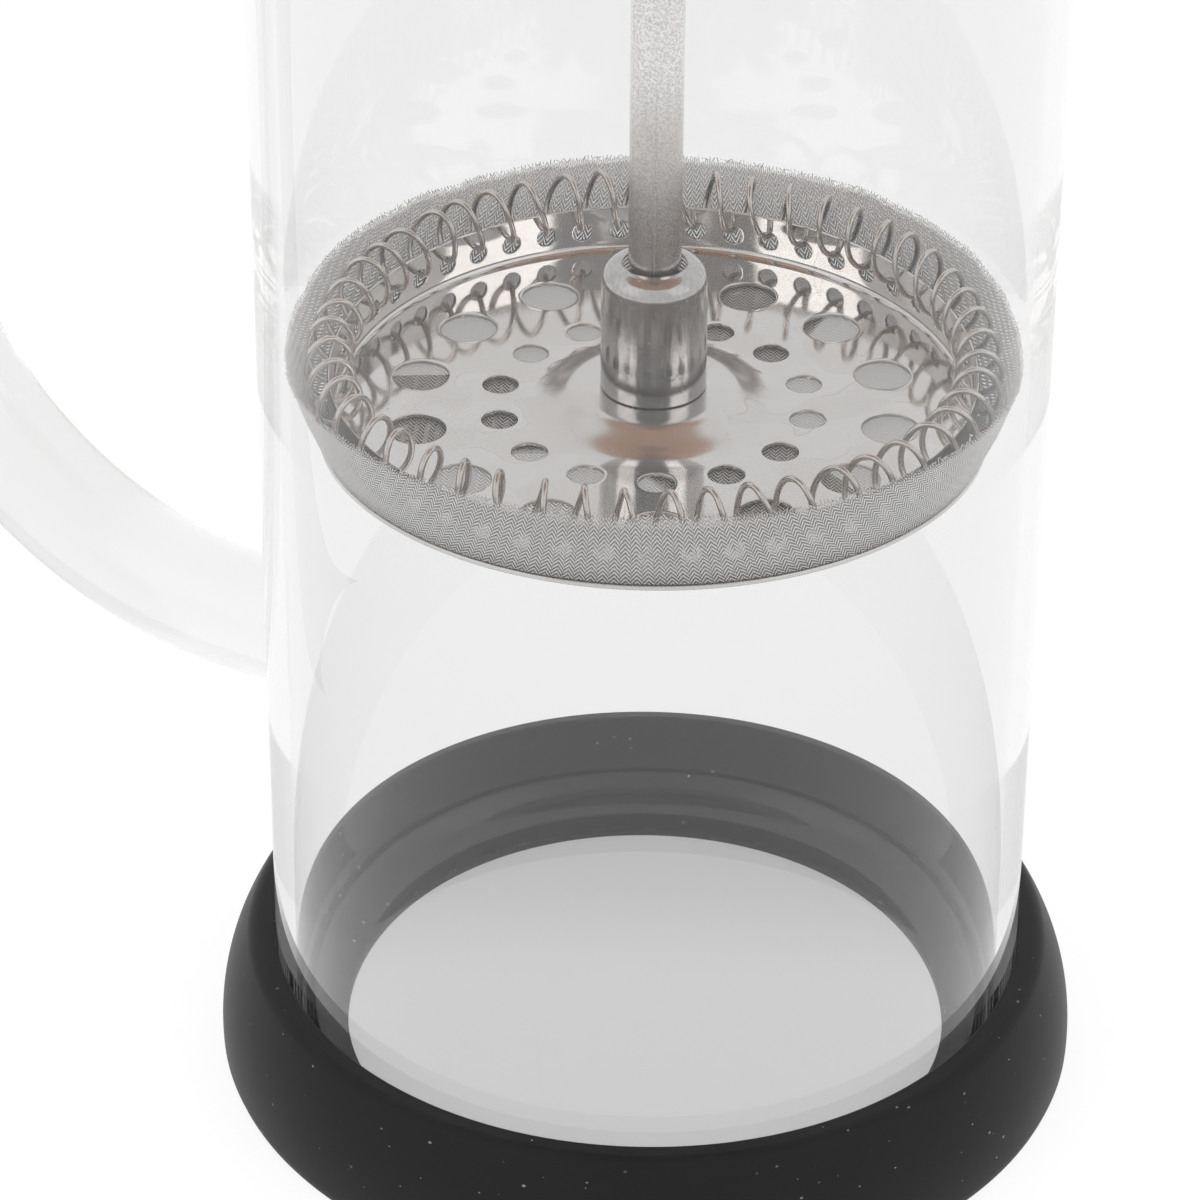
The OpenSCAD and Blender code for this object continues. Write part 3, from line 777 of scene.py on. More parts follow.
def geometry_tree(name, sockets):
    """A new geometry tree with named inputs, its Net and the Values of its inputs."""
    tree = bpy.data.node_groups.new(name, "GeometryNodeTree")
    net = Net(tree)
    kinds = {float: "NodeSocketFloat", int: "NodeSocketInt"}
    for label, kind in sockets:
        tree.interface.new_socket(label, in_out="INPUT", socket_type=kinds.get(kind, kind))
    tree.interface.new_socket("Geometry", in_out="OUTPUT", socket_type="NodeSocketGeometry")
    given = net.node("NodeGroupInput")
    return tree, net, {label: Value(net, given.outputs[label]) for label, _ in sockets}


def end_tree(net, geometry, made_of):
    """Ends a geometry tree in Realize Instances and Set Material."""
    real = net.value("GeometryNodeRealizeInstances", inputs={0: geometry})
    inputs = {"Geometry": real, "Material": made_of}
    net.node("NodeGroupOutput", inputs={0: net.value("GeometryNodeSetMaterial", inputs=inputs)})


def run_tree(piece, tree, values):
    """Runs a geometry tree on a piece and keeps the result as its plain mesh."""
    modifier = piece.modifiers.new(tree.name, "NODES")
    modifier.node_group = tree
    for item in tree.interface.items_tree:
        if item.in_out == "INPUT" and item.name in values:
            modifier[item.identifier] = values[item.name]
    return applied(piece)


def ring_tree():
    """Copies of a sector all the way round Z, joined where they meet."""
    tree, net, given = geometry_tree("Ring of sectors", [
        ("Geometry", "NodeSocketGeometry"), ("Count", int), ("Start", float),
        ("Merge Distance", float), ("Material", "NodeSocketMaterial"),
    ])
    places = net.value(
        "GeometryNodeMeshLine", {"mode": "OFFSET"}, {"Count": given["Count"], "Offset": (0, 0, 0)}
    )
    angle = given["Start"] + net.value("GeometryNodeInputIndex") * TURN / given["Count"]
    copies = net.value("GeometryNodeInstanceOnPoints", inputs={
        "Points": places, "Instance": given["Geometry"], "Rotation": net.vector(0.0, 0.0, angle),
    })
    real = net.value("GeometryNodeRealizeInstances", inputs={0: copies})
    joined = net.value("GeometryNodeMergeByDistance", inputs={
        "Geometry": real, "Distance": given["Merge Distance"],
    })
    end_tree(net, joined, given["Material"])
    return tree


def coil_tree():
    """A wire wound round a ring, once for each turn, with turns that differ a little."""
    tree, net, given = geometry_tree("Ring coil", [
        ("Turns", int), ("Steps", int), ("Ring Radius", float), ("Half Width", float),
        ("Half Height", float), ("Height", float), ("Wire Radius", float), ("Start", float),
        ("Unevenness", float), ("Seed", float), ("Material", "NodeSocketMaterial"),
    ])
    turns, steps, uneven = given["Turns"], given["Steps"], given["Unevenness"]
    line = net.value(
        "GeometryNodeMeshLine", {"mode": "OFFSET"}, {"Count": turns * steps, "Offset": (0, 0, 1e-5)}
    )
    wire = net.value("GeometryNodeMeshToCurve", inputs={0: line})
    wire = net.value("GeometryNodeSetSplineCyclic", inputs={"Geometry": wire, "Cyclic": True})
    angle = net.value("GeometryNodeInputIndex") * TURN / (turns * steps)
    phase = -math.pi / 2 - turns * angle
    cos_phase, sin_phase = net.math("COSINE", phase), net.math("SINE", phase)
    circle = net.vector(
        net.math("COSINE", angle) * 5.0, net.math("SINE", angle) * 5.0, given["Seed"]
    )
    lean, grow, lift = net.parts(net.value(
        "ShaderNodeTexNoise", inputs={"Vector": circle, "Scale": 1.3, "Detail": 2.0}, output="Color"
    ))
    upper = net.ease(sin_phase, -0.75, 0.9) * uneven
    turned = angle + (lean - 0.5) * upper * 0.09 + given["Start"]
    narrowed = 1 + (grow - 0.72).least(0) * upper * 0.25
    lowered = (lift - 0.4).most(0) * upper * 0.22
    radius = given["Ring Radius"] + given["Half Width"] * cos_phase * narrowed
    height = given["Height"] + given["Half Height"] * (sin_phase - lowered)
    place = net.vector(
        radius * net.math("COSINE", turned), radius * net.math("SINE", turned), height
    )
    wire = net.value("GeometryNodeSetPosition", inputs={"Geometry": wire, "Position": place})
    section = net.value(
        "GeometryNodeCurvePrimitiveCircle", {"mode": "RADIUS"},
        {"Resolution": 8, "Radius": given["Wire Radius"]},
    )
    tube = net.value(
        "GeometryNodeCurveToMesh", inputs={"Curve": wire, "Profile Curve": section}
    )
    tube = net.value(
        "GeometryNodeSetShadeSmooth", inputs={"Geometry": tube, "Shade Smooth": True}
    )
    end_tree(net, tube, given["Material"])
    return tree


def fringe_tree():
    """Loose wire ends that stand up along a round edge."""
    tree, net, given = geometry_tree("Loose wire ends", [
        ("Geometry", "NodeSocketGeometry"), ("Count", int), ("Wire Radius", float),
        ("Length", float), ("Seed", int), ("Material", "NodeSocketMaterial"),
    ])
    edge = net.value("GeometryNodeMeshToCurve", inputs={0: given["Geometry"]})
    places = net.value(
        "GeometryNodeCurveToPoints", {"mode": "COUNT"}, {"Curve": edge, "Count": given["Count"]}
    )
    wire = net.value(
        "GeometryNodeMeshCylinder", {"fill_type": "TRIANGLE_FAN"},
        {"Vertices": 5, "Radius": given["Wire Radius"], "Depth": given["Length"]},
    )

    def chance(low, high, offset):
        return net.value("FunctionNodeRandomValue", {"data_type": "FLOAT_VECTOR"}, {
            "Min": low, "Max": high, "Seed": given["Seed"] + offset,
        })

    copies = net.value("GeometryNodeInstanceOnPoints", inputs={
        "Points": places, "Instance": wire,
        "Rotation": chance((-0.9, -0.9, -3.0), (0.9, 0.9, 3.0), 1),
        "Scale": chance((0.8, 0.8, 0.35), (1.1, 1.1, 1.0), 2),
    })
    end_tree(net, copies, given["Material"])
    return tree


# ---------------------------------------------------------------- carafe


def spout_push(glass, rim, angle, z):
    """How far the spout carries a point of the wall outwards."""
    spout_reach = BOXES["carafe"][1].x - reach("carafe")
    rise = (z - (rim - glass.spout_drop)) / glass.spout_drop
    share = abs(math.remainder(angle, TURN)) / glass.spout_half_angle
    if rise <= 0 or share >= 1:
        return 0.0
    across = (0.5 + 0.5 * math.cos(math.pi * share)) ** 1.7
    return spout_reach * across * rise * rise * (3 - 2 * rise) ** 0.5


def spread(start, end, steps):
    """Evenly spaced numbers after start, up to and with end."""
    return [start + (end - start) * (i + 1) / steps for i in range(steps)]


def handle_roots(glass):
    """Heights of the axes of the rod's two ends."""
    low, high = BOXES["carafe_handle"]
    return low.z + glass.handle_r, high.z - glass.handle_r


def carafe_wall(shell, glass, half_cells):
    """Floor, wall, rim and spout, with a square of cells left open for each end of the handle."""
    base, rim, radius = extent("carafe")
    inner = radius - glass.wall
    step = TURN / glass.columns
    half_patch = half_cells * step * radius
    lip = glass.wall / 2
    row_h = 3 * MM
    heights = [base + glass.corner]
    patches = []
    for root in handle_roots(glass):
        start = root - half_patch
        heights += spread(heights[-1], start, max(2, round((start - heights[-1]) / row_h)))
        patches.append(len(heights) - 1)
        heights += spread(heights[-1], root + half_patch, 2 * half_cells)
    heights += spread(heights[-1], rim - lip, 14)
    corner_in = glass.corner - glass.wall
    floor_top = base + glass.floor
    near = 0.3 * MM
    flat = [(r, base) for r in (0.0, 0.4 * radius, radius - glass.corner - near)]
    corner = arc((radius - glass.corner, base + glass.corner), glass.corner, -90, 0, 12)[:-1]
    outline = (
        flat + corner + [(radius, z) for z in heights]
        + arc((radius - lip, rim - lip), lip, 0, 180, 10)[1:]
        + [(inner, z) for z in spread(rim - lip, floor_top + corner_in, 60)]
        + arc((inner - corner_in, floor_top + corner_in), corner_in, 0, -90, 12)[1:]
        + [(r, floor_top) for r in (inner - corner_in - near, 0.4 * radius, 0.0)]
    )
    first_row = len(flat + corner)
    handle_column = glass.columns // 2

    def in_patch(i, j):
        beside = -half_cells <= j - handle_column < half_cells
        return beside and any(p <= i - first_row < p + 2 * half_cells for p in patches)

    rows = []
    for r, z in outline:
        row = []
        for j in range(glass.columns):
            angle = j * step
            out = r + spout_push(glass, rim, angle, z) if r > inner - 0.01 * MM else r
            row.append(polar(out, angle, z))
        rows.append(row)
    shell.grid(rows, wrap=True, skip=in_patch)


def carafe_handle(shell, glass, half_cells):
    """The rod of the handle, from one square that the wall leaves open to the other."""
    radius = reach("carafe")
    cell = TURN / glass.columns * radius
    flare_r = glass.handle_r + glass.root_blend
    low_z, high_z = handle_roots(glass)
    side = range(-half_cells, half_cells)
    square = (
        [(i, -half_cells) for i in side] + [(half_cells, i) for i in side]
        + [(-i, half_cells) for i in side] + [(-half_cells, -i) for i in side]
    )
    turns = [math.atan2(b, a) for a, b in square]

    def on_wall(across, z, out=0.0):
        """A point at an arc length from the handle's plane, moved outwards along -X."""
        return Vector(polar(radius, math.pi - across / radius, z)) - Vector((out, 0, 0))

    def rod_ring(x, z, tilt, mirror):
        """A ring square to the rod, whose points match the rings on the wall."""
        ring = []
        for a in turns:
            up = glass.handle_r * math.sin(a) * mirror
            across = glass.handle_r * math.cos(a)
            ring.append((x - up * math.sin(tilt), across, z + up * math.cos(tilt)))
        return ring

    flat = [Vector((a * cell, b * cell, 0)) for a, b in square]
    flare = [Vector(polar(flare_r, a, 0)) for a in turns]
    root = [
        [start.lerp(end, share) for start, end in zip(flat, flare)]
        for share in (0, 0.2, 0.4, 0.6, 0.8, 1)
    ]
    for k in range(1, 9):
        bend = math.pi / 2 * k / 8
        away = glass.handle_r + glass.root_blend * (1 - math.sin(bend))
        out = glass.root_blend * (1 - math.cos(bend))
        root.append([polar(away, a, out) for a in turns])

    bend_r, bend_z = (high_z - low_z) / 2, (high_z + low_z) / 2
    bend_x = BOXES["carafe_handle"][0].x + glass.handle_r + bend_r
    start_x = on_wall(0, 0, glass.root_blend).x
    straight = [start_x + (bend_x - start_x) * share for share in (0.35, 0.7, 1.0)]
    lower = [[on_wall(a, low_z + b, out) for a, b, out in ring] for ring in root]
    lower += [rod_ring(x, low_z, 0, 1) for x in straight[:-1]]
    steps = 72
    for k in range(steps + 1):
        tilt = math.pi * k / steps
        x, z = bend_x - bend_r * math.sin(tilt), bend_z - bend_r * math.cos(tilt)
        lower.append(rod_ring(x, z, -tilt, 1))
    upper = [[on_wall(a, high_z - b, out) for a, b, out in ring] for ring in root]
    upper += [rod_ring(x, high_z, 0, -1) for x in straight]
    for rings in (lower, upper):
        shell.grid(rings, wrap=True)


def carafe_mesh(glass):
    """Wall, floor, spout and handle as one closed skin."""
    cell = TURN / glass.columns * reach("carafe")
    margin = 2.2 * MM
    half_cells = math.ceil((glass.handle_r + glass.root_blend + margin) / cell)
    shell = Shell()
    carafe_wall(shell, glass, half_cells)
    carafe_handle(shell, glass, half_cells)
    return shell.mesh("carafe_glass", merge=2e-6)


# ---------------------------------------------------------------- filter


def holed_cell(shell, boundary, centre, hole_r, place, thickness, roll):
    """A pierced cell of a sheet: its boundary runs in, over a softened edge, through the hole and
    back out along the other side. place(a, b, depth) gives a point of the sheet."""
    rim = [(Vector(point) - Vector(centre)).normalized() for point in boundary]

    def ring(share, radius, depth):
        points = []
        for (a, b), direction in zip(boundary, rim):
            edge = Vector(centre) + direction * radius
            points.append(place(a + (edge.x - a) * share, b + (edge.y - b) * share, depth))
        return points

    rings = [ring(t, hole_r + roll, 0.0) for t in (0, 0.3, 0.6, 0.85, 1)]
    for k in (1, 2, 3):
        bend = math.pi / 2 * k / 3
        rings.append(ring(1, hole_r + roll * (1 - math.sin(bend)), roll * (1 - math.cos(bend))))
    rings.append(ring(1, hole_r, thickness))
    rings += [ring(t, hole_r, thickness) for t in (0.6, 0)]
    shell.grid(rings, wrap=True)


def polar_boundary(low, high, half_angle, columns, rows):
    """Points round a cell between two radii or heights, as (angle, distance)."""
    across = [half_angle * (2 * i / columns - 1) for i in range(columns)]
    up = [low + (high - low) * i / rows for i in range(rows)]
    return (
        [(a, low) for a in across]
        + [(half_angle, d) for d in up]
        + [(-a, high) for a in across]
        + [(-half_angle, low + high - d) for d in up]
    )


def sector_angles(half, columns):
    """Evenly spaced angles from minus half to half."""
    return [half * (2 * i / columns - 1) for i in range(columns + 1)]


def wall_radius(dish):
    """Radius of the middle of the dish's wall."""
    return dish.wall_out_r - dish.sheet / 2


def dish_face_sector(dish, face_z):
    """One sector of the dish's face, with a large and a small hole, and of its raised centre."""
    shell = Shell()
    columns = 25
    half = math.pi / dish.hole_count
    angles = sector_angles(half, columns)
    flat_end = wall_radius(dish) - dish.sheet / 2 - dish.bend
    past_bend = 2.4 * MM
    start = dish.boss_foot_r + past_bend

    def on_face(x, y, depth):
        return (x, y, face_z - depth)

    for low, high, ring_r, hole_r, rows in (
        (start, dish.parting_r, dish.small_ring_r, dish.small_hole_r, 12),
        (dish.parting_r, dish.pierced_r, dish.large_ring_r, dish.large_hole_r, 14),
    ):
        edge = polar_boundary(low, high, half, columns, rows)
        boundary = [polar(r, a, 0)[:2] for a, r in edge]
        holed_cell(shell, boundary, (ring_r, 0.0), hole_r, on_face, dish.sheet, 0.12 * MM)
    for depth in (0, dish.sheet):
        shell.strip([(r, face_z - depth) for r in (dish.pierced_r, flat_end)], angles)
    crown = face_z + dish.boss_h
    under, crown_under = face_z - dish.sheet, crown - dish.sheet
    upper = rounded([
        (start, face_z), (dish.boss_foot_r, face_z, dish.boss_run),
        (dish.boss_r, crown, dish.boss_bend), (dish.centre_hole_r, crown, 0.1 * MM),
        (dish.centre_hole_r, crown_under),
    ], 12)
    lower = rounded([
        (dish.centre_hole_r, crown_under), (dish.boss_r, crown_under, dish.boss_bend),
        (dish.boss_foot_r, under, dish.boss_run), (start, under),
    ], 12)
    shell.strip(upper + lower[1:], angles)
    return shell.mesh("dish_face_sector")


def dish_wall_sector(dish, face_z):
    """One sector of the dish's wall, with the hole that one turn of the coil passes through."""
    shell = Shell()
    columns = 7
    half = math.pi / dish.coil_turns
    angles = sector_angles(half, columns)
    thin, wall_r = dish.sheet / 2, wall_radius(dish)
    inner, outer = wall_r - thin, wall_r + thin
    turn_up = (inner - dish.bend, face_z + dish.bend)
    hole_z = face_z + dish.pass_hole_h
    below, above = 1.28 * MM, 1.75 * MM
    low, high = hole_z - below, hole_z + above
    crown = face_z + dish.wall_h

    def on_wall(arc_length, z, depth):
        return polar(inner + depth, arc_length / wall_r, z)

    boundary = [(a * wall_r, z) for a, z in polar_boundary(low, high, half, columns, 8)]
    centre, roll = (0.0, hole_z), 0.08 * MM
    holed_cell(shell, boundary, centre, dish.pass_hole_r, on_wall, dish.sheet, roll)
    shell.strip(arc(turn_up, dish.bend, -90, 0, 6) + [(inner, low)], angles)
    shell.strip([(outer, low)] + arc(turn_up, dish.bend + dish.sheet, 0, -90, 6), angles)
    lip = [(inner, high), (inner, crown - 0.14 * MM)] + arc((wall_r, crown - thin), thin, 180, 0, 6)
    shell.strip(lip + [(outer, high)], angles)
    return shell.mesh("dish_wall_sector")


def cup_outline(cup, thickness):
    """Middle line of the mesh cup from its eyelet to its raw edge, as (r, z)."""
    base = foot("mesh_filter") + thickness
    foot_r = reach("cross_plate")
    face_z = foot("spiral_plate") + cup.sheet
    start = reach("mesh_eyelet") - cup.eyelet_grip
    knee = (foot_r + cup.knee_out - thickness, face_z + cup.knee_h)
    rim = (reach("mesh_filter") - thickness, top("mesh_filter") - 0.4 * MM)
    corners = [(start, base), (foot_r, base, cup.mesh_bend), (*knee, cup.knee_bend), rim]
    return rounded(corners, 8)


def subdivided(outline, longest):
    """The outline with its long stretches cut into shorter ones."""
    points = [outline[0]]
    for before, after in zip(outline, outline[1:]):
        cuts = max(1, math.ceil(math.dist(before, after) / longest))
        for k in range(1, cuts + 1):
            points.append(tuple(b + (a - b) * k / cuts for b, a in zip(before, after)))
    return points


def mesh_cup(cup):
    """The woven sheet, cut as a flat disc and formed into a cup with a wavy raw edge. Its weave
    is laid out on the flat disc, with the distance to the edge beside it. Gives the edge too."""
    columns = 300
    outline = subdivided(cup_outline(cup, cup.mesh_t), 0.8 * MM)
    path = [0.0]
    for before, after in zip(outline, outline[1:]):
        path.append(path[-1] + math.dist(before, after))
    start_r, total = outline[0][0], path[-1]
    wavy_from = foot("mesh_filter") + 1.5 * MM
    crown = top("mesh_filter")
    far_limit, high_limit = reach("mesh_filter") - 0.1 * MM, crown - 0.2 * MM
    rows, weave = [], []
    for (r, z), along in zip(outline, path):
        row = []
        height = max(0.0, (z - wavy_from) / (crown - wavy_from))
        flat = start_r + along
        for j in range(columns):
            angle = TURN * j / columns
            swing = Vector(polar(1, angle, 0))
            slow = noise.noise(swing * 2.2 + Vector((3.1, 0, 0)))
            quick = noise.noise(swing * 9.0 + Vector((0, 7.7, 0)))
            pleat = noise.noise(swing * 21.0 + Vector((0, 0, height * 0.8 + 1.3)))
            out = (slow * 0.28 + quick * 0.20 + pleat * 0.22) * MM * height ** 1.5
            up = (slow * 0.45 + quick * 0.30 + pleat * 0.12) * MM * height ** 2
            far = min(r + out, far_limit)
            row.append(polar(far, angle, min(z + up, high_limit)))
            turned = angle - cup.weave_turn
            weave.append((flat * math.sin(turned), flat * math.cos(turned), total - along))
        rows.append(row)
    shell = Shell("weave")
    corners = [corner for row in shell.grid(rows, wrap=True) for corner in row]
    for corner, place in zip(corners, weave):
        corner[shell.layer] = place
    for face in shell.bm.faces:
        face.smooth = True
    return shell.mesh("mesh_cup", recalculate=False), rows[-1]


# ---------------------------------------------------------------- operators


class PressOperator:
    """What the operators share."""
    bl_options = {"REGISTER", "UNDO"}

    def execute(self, context):
        self.make(context.scene)
        return {"FINISHED"}


class PRESS_OT_glass(PressOperator, bpy.types.Operator):
    """Makes the glass carafe with its spout and handle"""
    bl_idname = "press.glass"
    bl_label = "Glass Carafe"

    def make(self, scene):
        glass = scene.press_glass
        piece = smooth(add_object("carafe_glass", carafe_mesh(glass)), 60)
        made_of = clear_glass(glass.tint, glass.rod_tint, reach("carafe") + 0.2 * MM)
        finish_piece(piece, made_of, "carafe_body", ("carafe", "carafe_handle"))


class PRESS_OT_base(PressOperator, bpy.types.Operator):
    """Makes the soft ring that the carafe stands in"""
    bl_idname = "press.base"
    bl_label = "Base Ring"

    def make(self, scene):
        glass, ring = scene.press_glass, scene.press_ring
        radius, seat = reach("carafe"), foot("carafe")
        widest, height = reach("base_ring"), top("base_ring")
        bulge_r, lip_r, edge, side_from = ring.bulge_r, ring.lip_r, 0.4 * MM, 1 * MM
        centre = (widest - bulge_r, ring.bulge_z)
        low = math.degrees(math.asin((side_from - ring.bulge_z) / bulge_r))
        high = math.degrees(math.asin((height - lip_r - ring.bulge_z) / (bulge_r - lip_r)))
        lip = (centre[0] + (bulge_r - lip_r) * math.cos(math.radians(high)), height - lip_r)
        corner = (radius - glass.corner, seat + glass.corner)
        opening = radius - ring.overlap
        outline = (
            [(opening, 0.25 * MM), (opening + 0.25 * MM, 0.0)]
            + [(widest - ring.sole_in, 0.0), (widest - 0.3 * MM, 0.3 * MM)]
            + arc(centre, bulge_r, low, high, 24) + arc(lip, lip_r, high, 90, 8)[1:]
            + arc((radius + edge, height - edge), edge, 90, 180, 4)
            + [(radius, seat + glass.corner + 2 * MM)] + arc(corner, glass.corner, 0, -90, 12)
            + [(opening + 0.2 * MM, seat), (opening, seat - 0.2 * MM)]
        )
        silicone = black_silicone(ring.dust_r)
        turned_piece(
            "foot_ring", outline, silicone, "carafe_body", "base_ring", 256
        )


class PRESS_OT_lid(PressOperator, bpy.types.Operator):
    """Makes the wooden lid with its plug, seal and steel bush"""
    bl_idname = "press.lid"
    bl_label = "Lid"

    def make(self, scene):
        wood, plunger = scene.press_wood, scene.press_plunger
        body, bush_r = "lid_body", plunger.bush_r
        low, high, lid_r = extent("lid_disc")
        grain = turned_wood(wood.light, wood.dark, (0, 0, (low + high) / 2))
        turned_piece("lid_top", rounded([
            (bush_r, low), (lid_r, low, 0.8 * MM), (lid_r, high, wood.edge_r), (bush_r, high),
        ], 10), grain, body, "lid_disc", 224)

        plug_low, plug_r = foot("lid_plug"), reach("lid_plug")
        seal_low, seal_high, seal_r = extent("lid_seal")
        groove_r = plug_r - wood.groove
        turned_piece("lid_plug_wood", rounded([
            (bush_r, plug_low), (plug_r, plug_low, 0.7 * MM), (plug_r, seal_low, 0.2 * MM),
            (groove_r, seal_low), (groove_r, seal_high), (plug_r, seal_high, 0.2 * MM),
            (plug_r, low), (bush_r, low),
        ], 6), grain, body, "lid_plug", 224)

        fin, tip = wood.fin_t, 0.3 * MM
        turned_piece("plug_seal", rounded([
            (groove_r, seal_low), (seal_r, seal_low, tip), (seal_r, seal_low + fin, tip),
            (plug_r, seal_low + fin, tip), (plug_r, seal_high - fin, tip),
            (seal_r, seal_high - fin, tip), (seal_r, seal_high, tip), (groove_r, seal_high),
        ], 4), clear_silicone(), body, "lid_seal", 224)

        steel, bore = polished_steel(), plunger.bore_r
        low, high, flange_r = extent("lid_bush")
        turned_piece("bush_sleeve", rounded([
            (bore, low, 0.3 * MM), (flange_r, low, 0.35 * MM), (flange_r, plug_low),
            (bush_r, plug_low), (bush_r, high, 0.2 * MM), (bore, high, 0.4 * MM),
        ], 4), steel, body, "lid_bush")
        low, high, ring_r = extent("bush_ring")
        turned_piece("bush_collar", rounded([
            (bush_r, low), (ring_r, low), (ring_r, high, 0.6 * MM), (bush_r, high, 0.15 * MM),
        ], 5), steel, body, "bush_ring")


class PRESS_OT_plunger(PressOperator, bpy.types.Operator):
    """Makes the steel tube, its hub and the washer under the knob"""
    bl_idname = "press.plunger"
    bl_label = "Plunger"

    def make(self, scene):
        sizes, body, fine = scene.press_plunger, "plunger_body", 0.12 * MM
        low, high, rod_r = extent("plunger_rod")
        inside, edge = rod_r - sizes.rod_wall, sizes.rod_chamfer
        satin = satin_steel(sizes.seam_turn, low + sizes.darkened)
        turned_piece("rod_tube", rounded([
            (inside, low), (rod_r - edge, low, 0.05 * MM), (rod_r, low + edge, fine),
            (rod_r, high - edge, fine), (rod_r - edge, high, 0.05 * MM), (inside, high),
        ], 3), satin, body, "plunger_rod")

        low, high, hub_r = extent("hub_nut")
        mouth, shoulder = sizes.mouth_r, hub_r - sizes.mouth_r
        throat = high - sizes.mouth_depth
        threads, first, pitch, depth = [], 0.45 * MM, 0.5 * MM, 0.14 * MM
        for k in range(4):
            z = high - first - k * pitch
            threads += [(mouth, z), (mouth + depth, z - pitch / 4), (mouth, z - pitch / 2)]
        outline = (
            [(sizes.thread_r, low)] + arc((hub_r - fine, low + fine), fine, -90, 0, 4)
            + arc((hub_r - shoulder, high - shoulder), shoulder, 0, 84, 16)
            + [(mouth + fine, high), (mouth, high - fine)] + threads
            + [(mouth, throat), (sizes.thread_r, throat)]
        )
        # Within the mouth the steel is painted dark, as painted shade.
        steel = turned_steel(mouth, low + sizes.collar)
        turned_piece("hub_body", outline, steel, body, "hub_nut", 192)

        low, high, washer_r = extent("knob_washer")
        stud_r = reach("rod_top_stud")
        turned_piece("washer_disc", rounded([
            (stud_r, low), (washer_r, low, 0.2 * MM), (washer_r, high, 0.3 * MM), (stud_r, high),
        ], 4), polished_steel(), body, "knob_washer")


class PRESS_OT_knob(PressOperator, bpy.types.Operator):
    """Makes the wooden ball knob"""
    bl_idname = "press.knob"
    bl_label = "Knob"

    def make(self, scene):
        wood = scene.press_wood
        low, high, ball_r = extent("knob")
        middle, flat_r, hole_top = high - ball_r, wood.knob_flat_r, low + wood.insert_l
        start = math.degrees(math.asin((low - middle) / ball_r))
        outline = (
            [(0.0, hole_top), (wood.insert_r, hole_top), (wood.insert_r, low)]
            + [(flat_r - 0.4 * MM, low), (flat_r - 0.05 * MM, low + 0.12 * MM)]
            + arc((0.0, middle), ball_r, start + 1.2, 89.5, 56) + [(0.0, high)]
        )
        grain = turned_wood(wood.light, wood.dark, (4 * MM, -6 * MM, middle))
        turned_piece("knob_ball", outline, grain, "knob_body", "knob")


class PRESS_OT_dish(PressOperator, bpy.types.Operator):
    """Makes the pierced steel dish of the filter"""
    bl_idname = "press.dish"
    bl_label = "Pierced Dish"

    def make(self, scene):
        dish = scene.press_filter
        face_z = foot("spiral_plate") + dish.sheet
        # Beyond the middle of its wall the steel is painted dark, as painted shade behind the mesh.
        steel = polished_steel(wall_radius(dish), dish.boss_foot_r + 0.6 * MM)
        shell, tree = Shell(), ring_tree()
        for mesh, copies in (
            (dish_face_sector(dish, face_z), dish.hole_count),
            (dish_wall_sector(dish, face_z), dish.coil_turns),
        ):
            part = run_tree(add_object(mesh.name, mesh), tree, {
                "Count": copies, "Start": dish.turned, "Merge Distance": 2e-6, "Material": steel,
            })
            shell.bm.from_mesh(part.data)
            bpy.data.objects.remove(part)
        piece = smooth(add_object("spiral_dish", shell.mesh("spiral_dish", merge=3e-6)), 40)
        finish_piece(piece, steel, "filter_body", ("spiral_plate",))


class PRESS_OT_coil(PressOperator, bpy.types.Operator):
    """Makes the coil spring round the dish"""
    bl_idname = "press.coil"
    bl_label = "Coil Spring"

    def make(self, scene):
        coil = scene.press_filter
        low, high, wire_r = foot("coil_spring"), top("coil_spring"), coil.wire_r
        wall_r, outer = wall_radius(coil), max(BOXES["coil_spring"][1].xy)
        piece = add_object("coil_wire", bpy.data.meshes.new("coil_wire"))
        piece = run_tree(piece, coil_tree(), {
            "Turns": coil.coil_turns, "Steps": 40, "Ring Radius": wall_r,
            "Half Width": outer - wire_r - wall_r, "Half Height": (high - low) / 2 - wire_r,
            "Height": (high + low) / 2, "Wire Radius": wire_r, "Start": coil.turned,
            "Unevenness": coil.unevenness, "Seed": 4.0, "Material": spring_steel(),
        })
        finish_piece(piece, None, "filter_body", ("coil_spring",))


class PRESS_OT_mesh(PressOperator, bpy.types.Operator):
    """Makes the woven mesh cup and the loose wire ends along its edge"""
    bl_idname = "press.mesh"
    bl_label = "Mesh Cup"

    def make(self, scene):
        cup = scene.press_filter
        woven = woven_steel(cup.column_pitch, cup.row_pitch)
        mesh, edge = mesh_cup(cup)
        piece = add_object("mesh_cup", mesh)
        sheet = piece.modifiers.new("Thickness", "SOLIDIFY")
        sheet.thickness, sheet.offset = cup.mesh_t, 0
        finish_piece(applied(piece), woven, "filter_body", ("mesh_filter",))

        rim = bpy.data.meshes.new("mesh_fringe")
        pairs = [(i, (i + 1) % len(edge)) for i in range(len(edge))]
        rim.from_pydata(edge, pairs, [])
        fringe = run_tree(add_object("mesh_fringe", rim), fringe_tree(), {
            "Count": cup.loose_ends, "Wire Radius": cup.end_r, "Length": cup.end_l, "Seed": 11,
            "Material": spring_steel(),
        })
        finish_piece(fringe, None, "filter_body")


